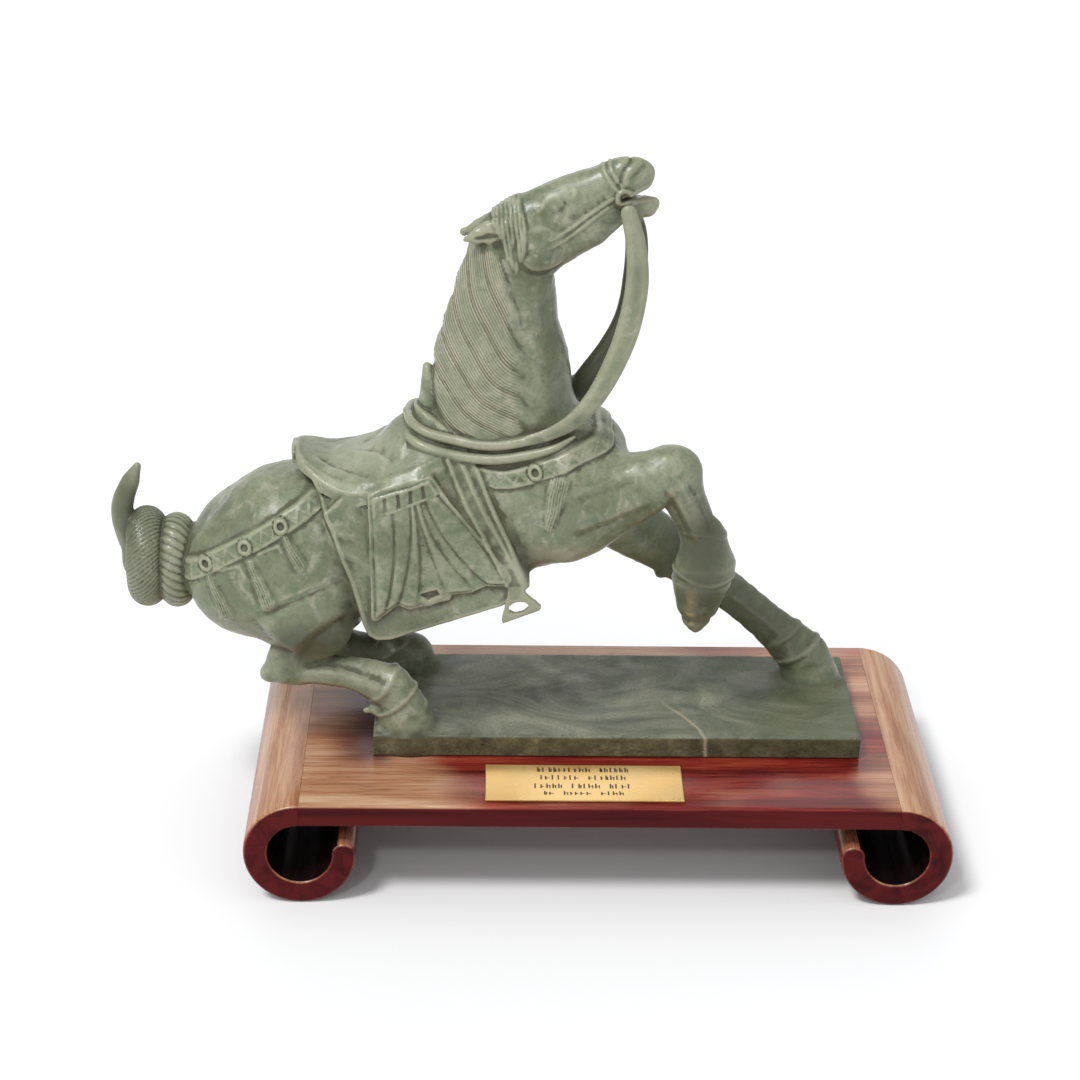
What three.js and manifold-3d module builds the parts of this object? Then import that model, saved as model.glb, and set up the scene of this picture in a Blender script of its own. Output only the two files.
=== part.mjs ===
// Jade horse carving on a lacquered scroll stand with a brass plaque.
// Millimetres, +Z up, +X towards the muzzle.
import * as THREE from 'three';
import { mergeVertices } from 'three/addons/utils/BufferGeometryUtils.js';
import Module from 'manifold-3d';

const wasm = await Module();
wasm.setup();

// Stand
const standWidth = 355;
const standDepth = 173.3;
const scrollRadius = 28.15;
const boardThickness = 12.2;
const scrollSweep = 270;
const scrollStep = 10;
const edgeRound = 1.4;
const jointGap = 0.3;

// Brass plaque on the front of the board
const plaqueLength = 99;
const plaqueWidth = 34;
const plaqueThickness = 1.2;
const plaqueInset = 5.6;
const plaqueOffset = -7.5;

// Slab under the horse, in one piece of stone with it
const slabLength = 249;
const slabWidth = 89;
const slabThickness = 12;
const slabOffsetX = 10;
const slabOffsetY = 7.5;
const slabChamfer = 0.8;

// The horse: its height from the slab to the muzzle, then the carver's own sizes
const horseHeight = 292;
const horseOffsetY = 7;
const footDepth = 6;
const lockPitch = 10.5;
const cordRadius = 2.6;
const strapHeight = 1.8;
const bossRadius = 5;
const bossHeight = 2.8;

// How finely the horse is worked out and handed over
const fieldStep = 2;
const horseTriangles = 8700;
const leastAgreement = 0.2;

const jade = new THREE.MeshStandardMaterial({ color: 0x8b967c, roughness: 0.3, metalness: 0 });
const lacquer = new THREE.MeshStandardMaterial({ color: 0x7a2a1c, roughness: 0.25, metalness: 0 });
const brass = new THREE.MeshStandardMaterial({ color: 0xc9a04a, roughness: 0.3, metalness: 1 });

// Distance to a chain of round cones through points [x, y, z, radius], narrowed sideways by flat
function chain(points, flat = 1) {
  const links = points.slice(1).map((end, i) => {
    const start = points[i];
    const along = [end[0] - start[0], (end[1] - start[1]) / flat, end[2] - start[2]];
    const squared = along[0] ** 2 + along[1] ** 2 + along[2] ** 2;
    return { start, along, squared, swell: end[3] - start[3] };
  });
  const reach = [1, flat, 1];
  const low = reach.map((share, axis) => Math.min(...points.map((p) => p[axis] - share * p[3])));
  const high = reach.map((share, axis) => Math.max(...points.map((p) => p[axis] + share * p[3])));
  const distance = (x, y, z) => {
    let nearest = Infinity;
    for (const { start, along, squared, swell } of links) {
      const dx = x - start[0];
      const dy = (y - start[1]) / flat;
      const dz = z - start[2];
      const t = Math.min(1, Math.max(0, (dx * along[0] + dy * along[1] + dz * along[2]) / squared));
      const gap = Math.hypot(dx - t * along[0], dy - t * along[1], dz - t * along[2]);
      nearest = Math.min(nearest, gap - start[3] - t * swell);
    }
    return nearest;
  };
  return { distance, low, high };
}

// The same chain with its points joined by a smooth curve
function smoothChain(points, flat = 1, steps = 3) {
  const curve = new THREE.CatmullRomCurve3(points.map(([x, y, z]) => new THREE.Vector3(x, y, z)));
  const spans = points.length - 1;
  const fine = [];
  for (let i = 0; i <= spans * steps; i += 1) {
    const at = curve.getPoint(i / (spans * steps));
    const from = Math.min(spans - 1, Math.floor(i / steps));
    const radius = THREE.MathUtils.lerp(points[from][3], points[from + 1][3], i / steps - from);
    fine.push([at.x, at.y, at.z, radius]);
  }
  return chain(fine, flat);
}

function ball([cx, cy, cz], [rx, ry, rz]) {
  const distance = (x, y, z) => {
    const unit = Math.hypot((x - cx) / rx, (y - cy) / ry, (z - cz) / rz);
    const slope = Math.hypot((x - cx) / rx ** 2, (y - cy) / ry ** 2, (z - cz) / rz ** 2);
    return slope > 0 ? (unit * (unit - 1)) / slope : -Math.min(rx, ry, rz);
  };
  return { distance, low: [cx - rx, cy - ry, cz - rz], high: [cx + rx, cy + ry, cz + rz] };
}

// Signed distance in the side view to a closed outline of [x, z] corners, negative inside
function outline(corners) {
  return (x, z) => {
    let nearest = Infinity;
    let inside = false;
    corners.forEach(([x1, z1], n) => {
      const [x2, z2] = corners[(n + 1) % corners.length];
      const along = ((x - x1) * (x2 - x1) + (z - z1) * (z2 - z1)) / ((x2 - x1) ** 2 + (z2 - z1) ** 2);
      const t = Math.min(1, Math.max(0, along));
      nearest = Math.min(nearest, Math.hypot(x - x1 - t * (x2 - x1), z - z1 - t * (z2 - z1)));
      if ((z1 > z) !== (z2 > z) && x < x1 + ((z - z1) / (z2 - z1)) * (x2 - x1)) inside = !inside;
    });
    return inside ? -nearest : nearest;
  };
}

// Distance in the side view to a path of [x, z] points
function pathDistance(points) {
  return (x, z) => points.slice(1).reduce((nearest, [x2, z2], n) => {
    const [x1, z1] = points[n];
    const along = ((x - x1) * (x2 - x1) + (z - z1) * (z2 - z1)) / ((x2 - x1) ** 2 + (z2 - z1) ** 2);
    const t = Math.min(1, Math.max(0, along));
    return Math.min(nearest, Math.hypot(x - x1 - t * (x2 - x1), z - z1 - t * (z2 - z1)));
  }, Infinity);
}

// How far a raised area stands out at a signed distance from its edge, negative inside
function raised(distance, height, slope = 1.5) {
  return height * Math.min(1, Math.max(0, 0.5 - distance / slope));
}

// A curve x(z) through three [x, z] points
function bend([[x0, z0], [x1, z1], [x2, z2]]) {
  return (z) => (x0 * (z - z1) * (z - z2)) / ((z0 - z1) * (z0 - z2))
    + (x1 * (z - z0) * (z - z2)) / ((z1 - z0) * (z1 - z2))
    + (x2 * (z - z0) * (z - z1)) / ((z2 - z0) * (z2 - z1));
}

// One turn of the bound tail: a filled ring about the X axis with slanting grooves
function ropeRing([cx, cy, cz], ringRadius, ropeRadius, flat, grooves, depth) {
  const distance = (x, y, z) => {
    const sideways = (y - cy) / flat;
    const out = Math.hypot(sideways, z - cz) - ringRadius;
    const turn = Math.atan2(sideways, z - cz);
    const twist = Math.atan2(x - cx, out);
    const tube = Math.hypot(out, x - cx) - ropeRadius - depth * Math.cos(grooves * turn + 1.6 * twist);
    const core = Math.max(Math.abs(x - cx) - 0.7 * ropeRadius, out);
    return Math.min(tube, core);
  };
  const reach = ringRadius + ropeRadius + depth;
  return {
    distance,
    low: [cx - ropeRadius - depth, cy - reach * flat, cz - reach],
    high: [cx + ropeRadius + depth, cy + reach * flat, cz + reach],
  };
}

// A block of distances on a grid, built up shape by shape and as large as its shapes need
class Field {
  constructor(step) {
    this.step = step;
    this.low = [Infinity, Infinity, Infinity];
    this.high = [-Infinity, -Infinity, -Infinity];
    this.changes = [];
  }

  // Works through the shapes and reliefs in their order, inside a box with three cells to spare
  settle() {
    const spare = 3;
    this.low = this.low.map((value) => this.step * (Math.floor(value / this.step) - spare));
    this.count = this.high.map((value, axis) => Math.ceil((value - this.low[axis]) / this.step) + spare);
    this.values = new Float32Array(this.count[0] * this.count[1] * this.count[2]).fill(Infinity);
    for (const { low, high, change } of this.changes) this.visit(low, high, change);
  }

  index(i, j, k) {
    return (i * this.count[1] + j) * this.count[2] + k;
  }

  visit(low, high, change) {
    const cells = (value, axis) => (value - this.low[axis]) / this.step;
    const from = low.map((v, axis) => Math.max(0, Math.floor(cells(v, axis))));
    const to = high.map((v, axis) => Math.min(this.count[axis] - 1, Math.ceil(cells(v, axis))));
    for (let i = from[0]; i <= to[0]; i += 1) {
      const x = this.low[0] + i * this.step;
      for (let j = from[1]; j <= to[1]; j += 1) {
        const y = this.low[1] + j * this.step;
        for (let k = from[2]; k <= to[2]; k += 1) {
          const at = this.index(i, j, k);
          this.values[at] = change(this.values[at], x, y, this.low[2] + k * this.step);
        }
      }
    }
  }

  // Joins a shape on, rounding the inner corner over a width of soft
  add(shape, soft) {
    const margin = soft + 2 * this.step;
    const change = (value, x, y, z) => {
      const other = shape.distance(x, y, z);
      const overlap = Math.max(soft - Math.abs(value - other), 0) / soft;
      return Math.min(value, other) - (overlap * overlap * soft) / 4;
    };
    this.low = this.low.map((value, axis) => Math.min(value, shape.low[axis]));
    this.high = this.high.map((value, axis) => Math.max(value, shape.high[axis]));
    const low = shape.low.map((value) => value - margin);
    const high = shape.high.map((value) => value + margin);
    this.changes.push({ low, high, change });
  }

  // Moves the surface outwards by height(x, z), seen from both sides
  raise([lowX, lowZ], [highX, highZ], height) {
    const change = (value, x, y, z) => value - height(x, z);
    this.changes.push({ low: [lowX, -Infinity, lowZ], high: [highX, Infinity, highZ], change });
  }

  // Makes solid every hollow that can't be reached from outside
  fillHollows() {
    const reached = new Uint8Array(this.values.length);
    const waiting = [[0, 0, 0]];
    const steps = [[1, 0, 0], [-1, 0, 0], [0, 1, 0], [0, -1, 0], [0, 0, 1], [0, 0, -1]];
    reached[0] = 1;
    while (waiting.length > 0) {
      const cell = waiting.pop();
      for (const step of steps) {
        const next = cell.map((n, axis) => n + step[axis]);
        if (next.some((n, axis) => n < 0 || n >= this.count[axis])) continue;
        const at = this.index(...next);
        if (reached[at] || this.values[at] < 0) continue;
        reached[at] = 1;
        waiting.push(next);
      }
    }
    this.values = this.values.map((value, at) => (reached[at] ? value : Math.min(value, -this.step / 2)));
  }
}

// The surface where the field is zero, cell by cell: six tetrahedra to a cell, so it is always closed
function surfaceOf(field) {
  const [nx, ny, nz] = field.count;
  const corners = [];
  for (let c = 0; c < 8; c += 1) corners.push(field.index(c & 1, (c >> 1) & 1, (c >> 2) & 1));
  const tetrahedra = [[0, 1, 3, 7], [0, 3, 2, 7], [0, 2, 6, 7], [0, 6, 4, 7], [0, 4, 5, 7], [0, 5, 1, 7]];
  const positions = [];
  const triangles = [];
  const crossing = new Map();
  const place = (at) => {
    const k = at % nz;
    const j = ((at - k) / nz) % ny;
    const i = (at - k - j * nz) / (ny * nz);
    return [i, j, k].map((n, axis) => field.low[axis] + n * field.step);
  };
  const cross = (inside, outside) => {
    const key = Math.min(inside, outside) * field.values.length + Math.max(inside, outside);
    if (!crossing.has(key)) {
      const a = field.values[inside];
      const b = field.values[outside];
      const t = THREE.MathUtils.clamp(a / (a - b), 0.08, 0.92);
      const from = place(inside);
      const to = place(outside);
      crossing.set(key, positions.length / 3);
      positions.push(...from.map((value, axis) => value + t * (to[axis] - value)));
    }
    return crossing.get(key);
  };
  const emit = (a, b, c, inside) => {
    const [p, q, r] = [a, b, c].map((v) => new THREE.Vector3().fromArray(positions, v * 3));
    const normal = q.clone().sub(p).cross(r.clone().sub(p));
    const outward = p.sub(new THREE.Vector3(...place(inside))).dot(normal) > 0;
    triangles.push(...(outward ? [a, b, c] : [a, c, b]));
  };
  for (let i = 0; i < nx - 1; i += 1) {
    for (let j = 0; j < ny - 1; j += 1) {
      for (let k = 0; k < nz - 1; k += 1) {
        const base = field.index(i, j, k);
        const first = field.values[base] < 0;
        if (corners.every((offset) => field.values[base + offset] < 0 === first)) continue;
        for (const tetrahedron of tetrahedra) {
          const points = tetrahedron.map((corner) => base + corners[corner]);
          const inner = points.filter((at) => field.values[at] < 0);
          const outer = points.filter((at) => field.values[at] >= 0);
          if (inner.length === 1) {
            emit(...outer.map((at) => cross(inner[0], at)), inner[0]);
          } else if (inner.length === 3) {
            emit(...inner.map((at) => cross(at, outer[0])), inner[0]);
          } else if (inner.length === 2) {
            const [a, b] = outer.map((at) => cross(inner[0], at));
            const [c, d] = outer.map((at) => cross(inner[1], at));
            emit(a, b, c, inner[0]);
            emit(b, d, c, inner[0]);
          }
        }
      }
    }
  }
  return { positions, triangles };
}

// A heap that gives back its cheapest entry first
class Heap {
  constructor() {
    this.items = [];
  }

  push(item) {
    const { items } = this;
    let at = items.push(item) - 1;
    while (at > 0) {
      const parent = (at - 1) >> 1;
      if (items[parent].cost <= item.cost) break;
      items[at] = items[parent];
      at = parent;
    }
    items[at] = item;
  }

  pop() {
    const { items } = this;
    const top = items[0];
    const last = items.pop();
    if (items.length === 0) return top;
    let at = 0;
    for (;;) {
      let child = 2 * at + 1;
      if (child >= items.length) break;
      if (child + 1 < items.length && items[child + 1].cost < items[child].cost) child += 1;
      if (items[child].cost >= last.cost) break;
      items[at] = items[child];
      at = child;
    }
    items[at] = last;
    return top;
  }
}

// Merges the edges whose loss changes the surface least, until few enough triangles are left
function thinOut({ positions, triangles }, wanted) {
  const vertexCount = positions.length / 3;
  const point = Float64Array.from(positions);
  const quadric = new Float64Array(vertexCount * 10);
  const facesOf = Array.from({ length: vertexCount }, () => []);
  const age = new Int32Array(vertexCount);
  const faces = [];
  const normal = new THREE.Vector3();
  const side = new THREE.Vector3();
  const corner = new THREE.Vector3();
  const normalOf = ([a, b, c]) => {
    corner.fromArray(point, 3 * a);
    normal.fromArray(point, 3 * b).sub(corner);
    side.fromArray(point, 3 * c).sub(corner);
    return normal.cross(side);
  };
  for (let t = 0; t < triangles.length; t += 3) {
    const face = triangles.slice(t, t + 3);
    const { x, y, z } = normalOf(face).clone().normalize();
    const area = normalOf(face).length() / 2;
    const w = -(x * corner.x + y * corner.y + z * corner.z);
    const entries = [x * x, x * y, x * z, x * w, y * y, y * z, y * w, z * z, z * w, w * w];
    for (const vertex of face) {
      facesOf[vertex].push(faces.length);
      for (let n = 0; n < 10; n += 1) quadric[10 * vertex + n] += area * entries[n];
    }
    faces.push(face);
  }
  const neighbours = (vertex) => {
    const around = [];
    for (const f of facesOf[vertex]) {
      for (const other of faces[f]) {
        if (other !== vertex && !around.includes(other)) around.push(other);
      }
    }
    return around;
  };
  const total = new Float64Array(10);
  const errorAt = (x, y, z) => x * x * total[0] + y * y * total[4] + z * z * total[7] + total[9]
    + 2 * (x * y * total[1] + x * z * total[2] + x * total[3])
    + 2 * (y * z * total[5] + y * total[6] + z * total[8]);
  const matrix = new THREE.Matrix3();
  const solved = new THREE.Vector3();
  const middle = new THREE.Vector3();
  const flatness = 1e-4;
  const best = (a, b) => {
    for (let n = 0; n < 10; n += 1) total[n] = quadric[10 * a + n] + quadric[10 * b + n];
    corner.fromArray(point, 3 * a);
    side.fromArray(point, 3 * b);
    middle.addVectors(corner, side).multiplyScalar(0.5);
    matrix.set(total[0], total[1], total[2], total[1], total[4], total[5], total[2], total[5], total[7]);
    const span = corner.distanceTo(side);
    if (Math.abs(matrix.determinant()) > flatness * (total[0] + total[4] + total[7]) ** 3) {
      solved.set(-total[3], -total[6], -total[8]).applyMatrix3(matrix.invert());
      if (solved.distanceTo(middle) < 2 * span) {
        return { cost: errorAt(solved.x, solved.y, solved.z), spot: solved.toArray() };
      }
    }
    const choices = [corner, side, middle].map((choice) => ({
      cost: errorAt(choice.x, choice.y, choice.z),
      spot: choice.toArray(),
    }));
    return choices.reduce((least, choice) => (choice.cost < least.cost ? choice : least));
  };
  const heap = new Heap();
  const offer = (a, b) => {
    const { cost, spot } = best(a, b);
    heap.push({ a, b, ages: age[a] + age[b], cost, spot });
  };
  for (const face of faces) {
    face.forEach((a, n) => {
      if (a < face[(n + 1) % 3]) offer(a, face[(n + 1) % 3]);
    });
  }
  const turnsOver = (vertex, gone, spot) => {
    const kept = point.slice(3 * vertex, 3 * vertex + 3);
    for (const f of facesOf[vertex]) {
      if (faces[f].includes(gone)) continue;
      const { x, y, z } = normalOf(faces[f]).normalize();
      point.set(spot, 3 * vertex);
      const after = normalOf(faces[f]).normalize();
      const agreement = x * after.x + y * after.y + z * after.z;
      point.set(kept, 3 * vertex);
      if (agreement < leastAgreement) return true;
    }
    return false;
  };
  let left = faces.length;
  while (left > wanted && heap.items.length > 0) {
    const { a, b, ages, spot } = heap.pop();
    if (facesOf[a].length === 0 || facesOf[b].length === 0 || age[a] + age[b] !== ages) continue;
    const aroundB = neighbours(b);
    const shared = neighbours(a).filter((vertex) => aroundB.includes(vertex));
    if (!aroundB.includes(a) || shared.length !== 2) continue;
    if (shared.some((vertex) => facesOf[vertex].length < 4)) continue;
    if (turnsOver(a, b, spot) || turnsOver(b, a, spot)) continue;
    for (const f of facesOf[b]) {
      if (faces[f].includes(a)) {
        for (const vertex of faces[f]) {
          if (vertex !== b) facesOf[vertex].splice(facesOf[vertex].indexOf(f), 1);
        }
        faces[f] = null;
        left -= 1;
      } else {
        faces[f][faces[f].indexOf(b)] = a;
        facesOf[a].push(f);
      }
    }
    facesOf[b] = [];
    point.set(spot, 3 * a);
    for (let n = 0; n < 10; n += 1) quadric[10 * a + n] += quadric[10 * b + n];
    age[a] += 1;
    for (const vertex of neighbours(a)) offer(a, vertex);
  }
  const renamed = new Map();
  const thinPositions = [];
  const thinTriangles = [];
  for (const face of faces) {
    if (face === null) continue;
    for (const vertex of face) {
      if (!renamed.has(vertex)) {
        renamed.set(vertex, renamed.size);
        thinPositions.push(...point.subarray(3 * vertex, 3 * vertex + 3));
      }
      thinTriangles.push(renamed.get(vertex));
    }
  }
  return { positions: thinPositions, triangles: thinTriangles };
}

function solidFrom(positions, triangles) {
  return new wasm.Manifold(new wasm.Mesh({
    numProp: 3,
    vertProperties: Float32Array.from(positions),
    triVerts: Uint32Array.from(triangles),
  }));
}

function solidFromGeometry(geometry) {
  const bare = geometry.clone();
  bare.deleteAttribute('normal');
  bare.deleteAttribute('uv');
  const merged = mergeVertices(bare, 1e-4);
  return solidFrom(merged.attributes.position.array, merged.index.array);
}

function geometryFrom(solid) {
  const mesh = solid.getMesh();
  const geometry = new THREE.BufferGeometry();
  geometry.setAttribute('position', new THREE.BufferAttribute(mesh.vertProperties, 3));
  geometry.setIndex(new THREE.BufferAttribute(mesh.triVerts, 1));
  geometry.computeVertexNormals();
  return geometry;
}

// The head from the poll to the muzzle, which is the highest point of the horse
const headLine = [[-50, 0, 250, 15], [-36, 0, 254, 20], [-18, 0, 266, 16.5], [0, 0, 275, 14],
  [12, 0, 281, 11]];
const [, , muzzleZ, muzzleRadius] = headLine.at(-1);
const horseScale = horseHeight / (muzzleZ + muzzleRadius);

// A real length on the horse, in the units that its points are written in
const drawn = (length) => length / horseScale;

// Trunk, neck and legs as [x, y, z, radius] points, y running from the near side to the far side
function addTrunk(field) {
  const barrel = [[-156, 0, 88, 41], [-108, 0, 95, 41], [-62, 0, 110, 40], [-22, 0, 122, 39]];
  field.add(smoothChain(barrel, 0.94), 6);
  const neck = [[-49, 0, 158, 35.5], [-50, 0, 186, 32.5], [-50, 0, 205, 27], [-48, 0, 226, 23],
    [-48, 0, 243, 17]];
  field.add(smoothChain(neck, 0.76), 14);
  for (const side of [-1, 1]) {
    field.add(smoothChain([[-174, 14 * side, 78, 35], [-148, 14 * side, 91, 32]], 0.75), 8);
    field.add(ball([-15, 18 * side, 127], [26, 20, 31]), 12);
  }
}

function addHead(field) {
  field.add(smoothChain(headLine, 0.74), 5);
  field.add(smoothChain([[-30, 0, 247, 12], [-10, 0, 260, 10], [6, 0, 268, 5], [20, 0, 271, 4]], 0.8), 4);
  field.add(ball([-47, 0, 256], [10, 10, 8]), 5);
  field.add(chain([[-53, -11, 259, 6], [-60, -12, 257, 5], [-68, -12, 254, 1.6]], 0.7), 3);
  field.add(chain([[-53, 11, 254, 6], [-60, 12, 252, 5], [-66, 12, 249, 1.6]], 0.7), 3);
}

function addLegs(field) {
  const foot = drawn(footDepth);
  const nearFore = [[-20, -18, 116, 26], [4, -23, 124, 19], [24, -25, 132, 15.5], [36, -25, 135, 13],
    [42, -25, 122, 12], [46, -25, 106, 11.5], [51, -25, 92, 13]];
  field.add(smoothChain(nearFore, 0.85), 8);
  field.add(chain([[52, -25, 92, 12], [53, -25, 81, 16], [53, -25, 74, 15.5], [51, -24, 53, 4]], 0.85), 2);
  const farFore = [[-10, 16, 112, 24], [12, 20, 93, 17], [34, 22, 77, 14], [54, 22, 62, 11.5],
    [74, 22, 47, 10], [90, 22, 33, 10], [104, 22, 20, 12]];
  field.add(smoothChain(farFore, 0.85), 8);
  field.add(chain([[104, 22, 20, 12], [114, 21, 8, 15], [117, 20, -foot, 20]], 0.75), 3);
  const nearHind = [[-152, -20, 68, 31], [-146, -26, 50, 20], [-159, -30, 31, 12], [-142, -31, 30, 9.5],
    [-124, -32, 29, 9.5], [-108, -33, 23, 12]];
  field.add(smoothChain(nearHind, 0.85), 8);
  field.add(chain([[-108, -33, 23, 12], [-99, -34, 8, 14], [-97, -34, -foot, 16]], 0.8), 3);
  const farHind = [[-148, 20, 68, 31], [-138, 25, 46, 20], [-150, 28, 24, 11], [-136, 29, 15, 10],
    [-120, 29, 11, 9.5], [-108, 30, 10, 11]];
  field.add(smoothChain(farHind, 0.85), 8);
  field.add(chain([[-108, 30, 10, 11], [-98, 31, 6, 13], [-97, 31, -foot, 14]], 0.85), 3);
}

function addTail(field) {
  field.add(chain([[-196, 0, 78, 20], [-228, 0, 78, 15]]), 3);
  field.add(ropeRing([-215, 0, 77], 16.5, 8, 0.85, 20, 0.7), 1);
  field.add(ropeRing([-230, 0, 79], 17, 9, 0.85, 26, 0.8), 1);
  const hook = [[-234, 0, 82, 9], [-240, 0, 97, 8.5], [-240, 0, 112, 7], [-235, 0, 130, 2]];
  field.add(smoothChain(hook, 0.8), 2);
}

function addSaddle(field) {
  const saddle = [[-138, 0, 108, 24], [-118, 0, 107, 26], [-100, 0, 119, 26], [-88, 0, 133, 25]];
  field.add(smoothChain(saddle, 1.25), 4);
  field.add(chain([[-86, 0, 158, 7], [-87, 0, 172, 4], [-88, 0, 184, 1.6]], 1.3), 2);
  for (const side of [-1, 1]) {
    const lip = [[-149, 0, 131, 3.8], [-146, 14 * side, 129, 3.6], [-137, 27 * side, 127, 3.2],
      [-124, 36 * side, 124, 2.6], [-113, 39 * side, 122, 2]];
    field.add(smoothChain(lip), 2);
  }
  const flap = outline([[-146, 120], [-129, 92], [-121, 52], [-108, 52], [-60, 70], [-37, 82], [-51, 112]]);
  for (const side of [-1, 1]) {
    const distance = (x, y, z) => Math.max(flap(x, z), side * y - 41, 33 - side * y);
    field.add({ distance, low: [-146, side > 0 ? 33 : -41, 52], high: [-37, side > 0 ? 41 : -33, 120] }, 5);
  }
}

// The saddle cloth with its rim, the seat, the belt and the pleated skirt
function carveSaddlery(field) {
  const cloth = outline([[-149, 136], [-140, 118], [-132, 91], [-121, 59], [-117, 54], [-108, 53], [-85, 60],
    [-49, 73], [-37, 82], [-48, 112], [-62, 139], [-72, 158], [-100, 168]]);
  const seat = outline([[-156, 150], [-147, 137], [-140, 132], [-129, 127], [-113, 123], [-100, 129],
    [-87, 133], [-82, 140], [-80, 158], [-92, 182], [-120, 180]]);
  const belt = outline([[-113, 118], [-113, 125], [-100, 130], [-85, 134], [-84, 127], [-98, 122]]);
  const frontBand = pathDistance([[-64, 139], [-51, 113], [-39, 87]]);
  const innerBand = pathDistance([[-75, 140], [-61, 114], [-50, 91]]);
  field.raise([-160, 45], [-30, 190], (x, z) => {
    const edge = cloth(x, z);
    return raised(edge, 1.8) + raised(Math.abs(edge + 1.5) - 1.5, 0.8) + raised(seat(x, z), 1.6)
      + raised(belt(x, z), 1.6) + raised(frontBand(x, z) - 3.2, 1.3) + raised(innerBand(x, z) - 2.4, 1.1);
  });
  const folds = [[[-113, 121], [-112, 100], [-112, 68]], [[-103, 121], [-104, 100], [-109, 72]],
    [[-95, 121], [-94, 100], [-98, 75]], [[-91, 123], [-84, 102], [-76, 81]],
    [[-88, 125], [-75, 104], [-59, 86]], [[-84, 128], [-66, 109], [-47, 89]]];
  const foldLines = folds.map(bend);
  const hem = bend([[69, -112], [78, -80], [90, -47]]);
  field.raise([-116, 64], [-44, 130], (x, z) => {
    const top = 120 + Math.max(0, (x + 104) * 0.35);
    const panel = foldLines.findIndex((line, n) => n > 0 && x < line(z)) - 1;
    if (panel < 0 || x < foldLines[0](z) || z < hem(x) || z > top) return 0;
    const from = foldLines[panel](z);
    const across = (x - from) / (foldLines[panel + 1](z) - from);
    return 1.1 + 1.5 * Math.sin(Math.PI * Math.min(1, across * 1.15)) ** 0.7;
  });
}

// Crupper with its bosses, breast strap, and the tassels that hang from both
function carveHarness(field) {
  const crupper = pathDistance([[-207, 78], [-198, 87], [-187, 94], [-177, 100], [-168, 106], [-158, 112],
    [-145, 120]]);
  const breast = pathDistance([[-62, 139], [-51, 137], [-41, 139], [-32, 143], [-22, 147], [-10, 152],
    [3, 155]]);
  const bosses = [[-198, 87], [-177, 99.5], [-159, 111], [-33, 145]];
  const tassels = [[[-193, 82], [-188, 62]], [[-172, 93], [-164, 75]], [[-154, 101], [-148, 83]],
    [[-29, 137], [-23, 116]]];
  const tasselPaths = tassels.map(pathDistance);
  field.raise([-215, 50], [12, 165], (x, z) => {
    const straps = raised(Math.min(crupper(x, z), breast(x, z)) - 3.4, drawn(strapHeight));
    const nearest = Math.min(...bosses.map(([bx, bz]) => Math.hypot(x - bx, z - bz)));
    const discs = raised(nearest - drawn(bossRadius), drawn(bossHeight));
    const hanging = Math.max(...tasselPaths.map((path) => raised(path(x, z) - 3.6, 2.4, 3)));
    return Math.max(straps, discs, hanging);
  });
}

// Long locks sweeping from the crest down and forwards, and the forelock behind the ears
function carveMane(field) {
  const mane = outline([[-56, 250], [-50, 244], [-47, 226], [-45, 207], [-43, 187], [-42, 167], [-44, 157],
    [-60, 156], [-80, 160], [-85, 176], [-90, 215], [-80, 252]]);
  const crest = (z) => -64 - (248 - z) * 0.34;
  field.raise([-100, 154], [-38, 264], (x, z) => {
    const lock = z + (x - crest(z)) * (0.8 + (z - 170) * 0.017) + 1.5 * Math.sin(x / 9 + z / 23);
    return raised(mane(x, z), 1 + 2 * Math.sin((Math.PI * lock) / drawn(lockPitch)) ** 2, 4);
  });
  const forelock = outline([[-57, 267], [-46, 275], [-41, 268], [-40, 255], [-45, 238], [-52, 248],
    [-55, 258]]);
  field.raise([-60, 236], [-36, 280], (x, z) => raised(forelock(x, z), 1.8, 2.5));
}

// Cheek strap, noseband, brow, eye, nostril and the open mouth
function carveFace(field) {
  const cheek = pathDistance([[-32, 247], [-14, 258], [-5, 265], [5, 272]]);
  const nose = pathDistance([[-6, 293], [-3, 284], [2, 275]]);
  field.raise([-60, 225], [30, 298], (x, z) => {
    const eye = Math.hypot((x + 26) / 1.4, z - 270);
    const nostril = Math.hypot(x - 13, z - 287);
    const straps = raised(Math.min(cheek(x, z), nose(x, z)) - 1.7, 1.3);
    const socket = raised(eye - 3, 1.6, 2) - raised(eye - 6, 1.2, 3);
    return straps + socket + raised(nostril - 5.5, 1, 3) - raised(nostril - 2.2, 2.4, 2);
  });
  const mouth = outline([[6, 275], [26, 281], [28, 277], [14, 273]]);
  field.raise([2, 270], [28, 284], (x, z) => -raised(mouth(x, z), 9, 1.5));
}

function addReins(field) {
  const near = [[9, -12, 268, 5], [13, -13, 254, 5.5], [14, -14, 234, 6], [10, -16, 210, 6],
    [1, -21, 189, 6], [-10, -27, 172, 6]];
  field.add(smoothChain(near, 0.5), 1.5);
  const far = [[10, 10, 264, 5], [15, 9, 250, 5.5], [16, 8, 228, 6], [12, 9, 204, 6], [3, 12, 183, 6],
    [-18, 16, 158, 6]];
  field.add(smoothChain(far, 0.5), 1.5);
  const upper = [[-100, 0, 160], [-96, 12, 159], [-88, 19, 157], [-75, 23, 155], [-56, 28, 154],
    [-37, 28, 157], [-24, 27, 161], [-14, 26, 166]];
  const lower = [[-100, 0, 154], [-95, 18, 153], [-88, 23, 151], [-75, 26, 148], [-56, 29, 147],
    [-37, 30, 150], [-24, 29, 154]];
  for (const side of [-1, 1]) {
    for (const cord of [upper, lower]) {
      field.add(smoothChain(cord.map(([x, y, z]) => [x, side * y, z, drawn(cordRadius)])), 1);
    }
  }
}

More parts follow.
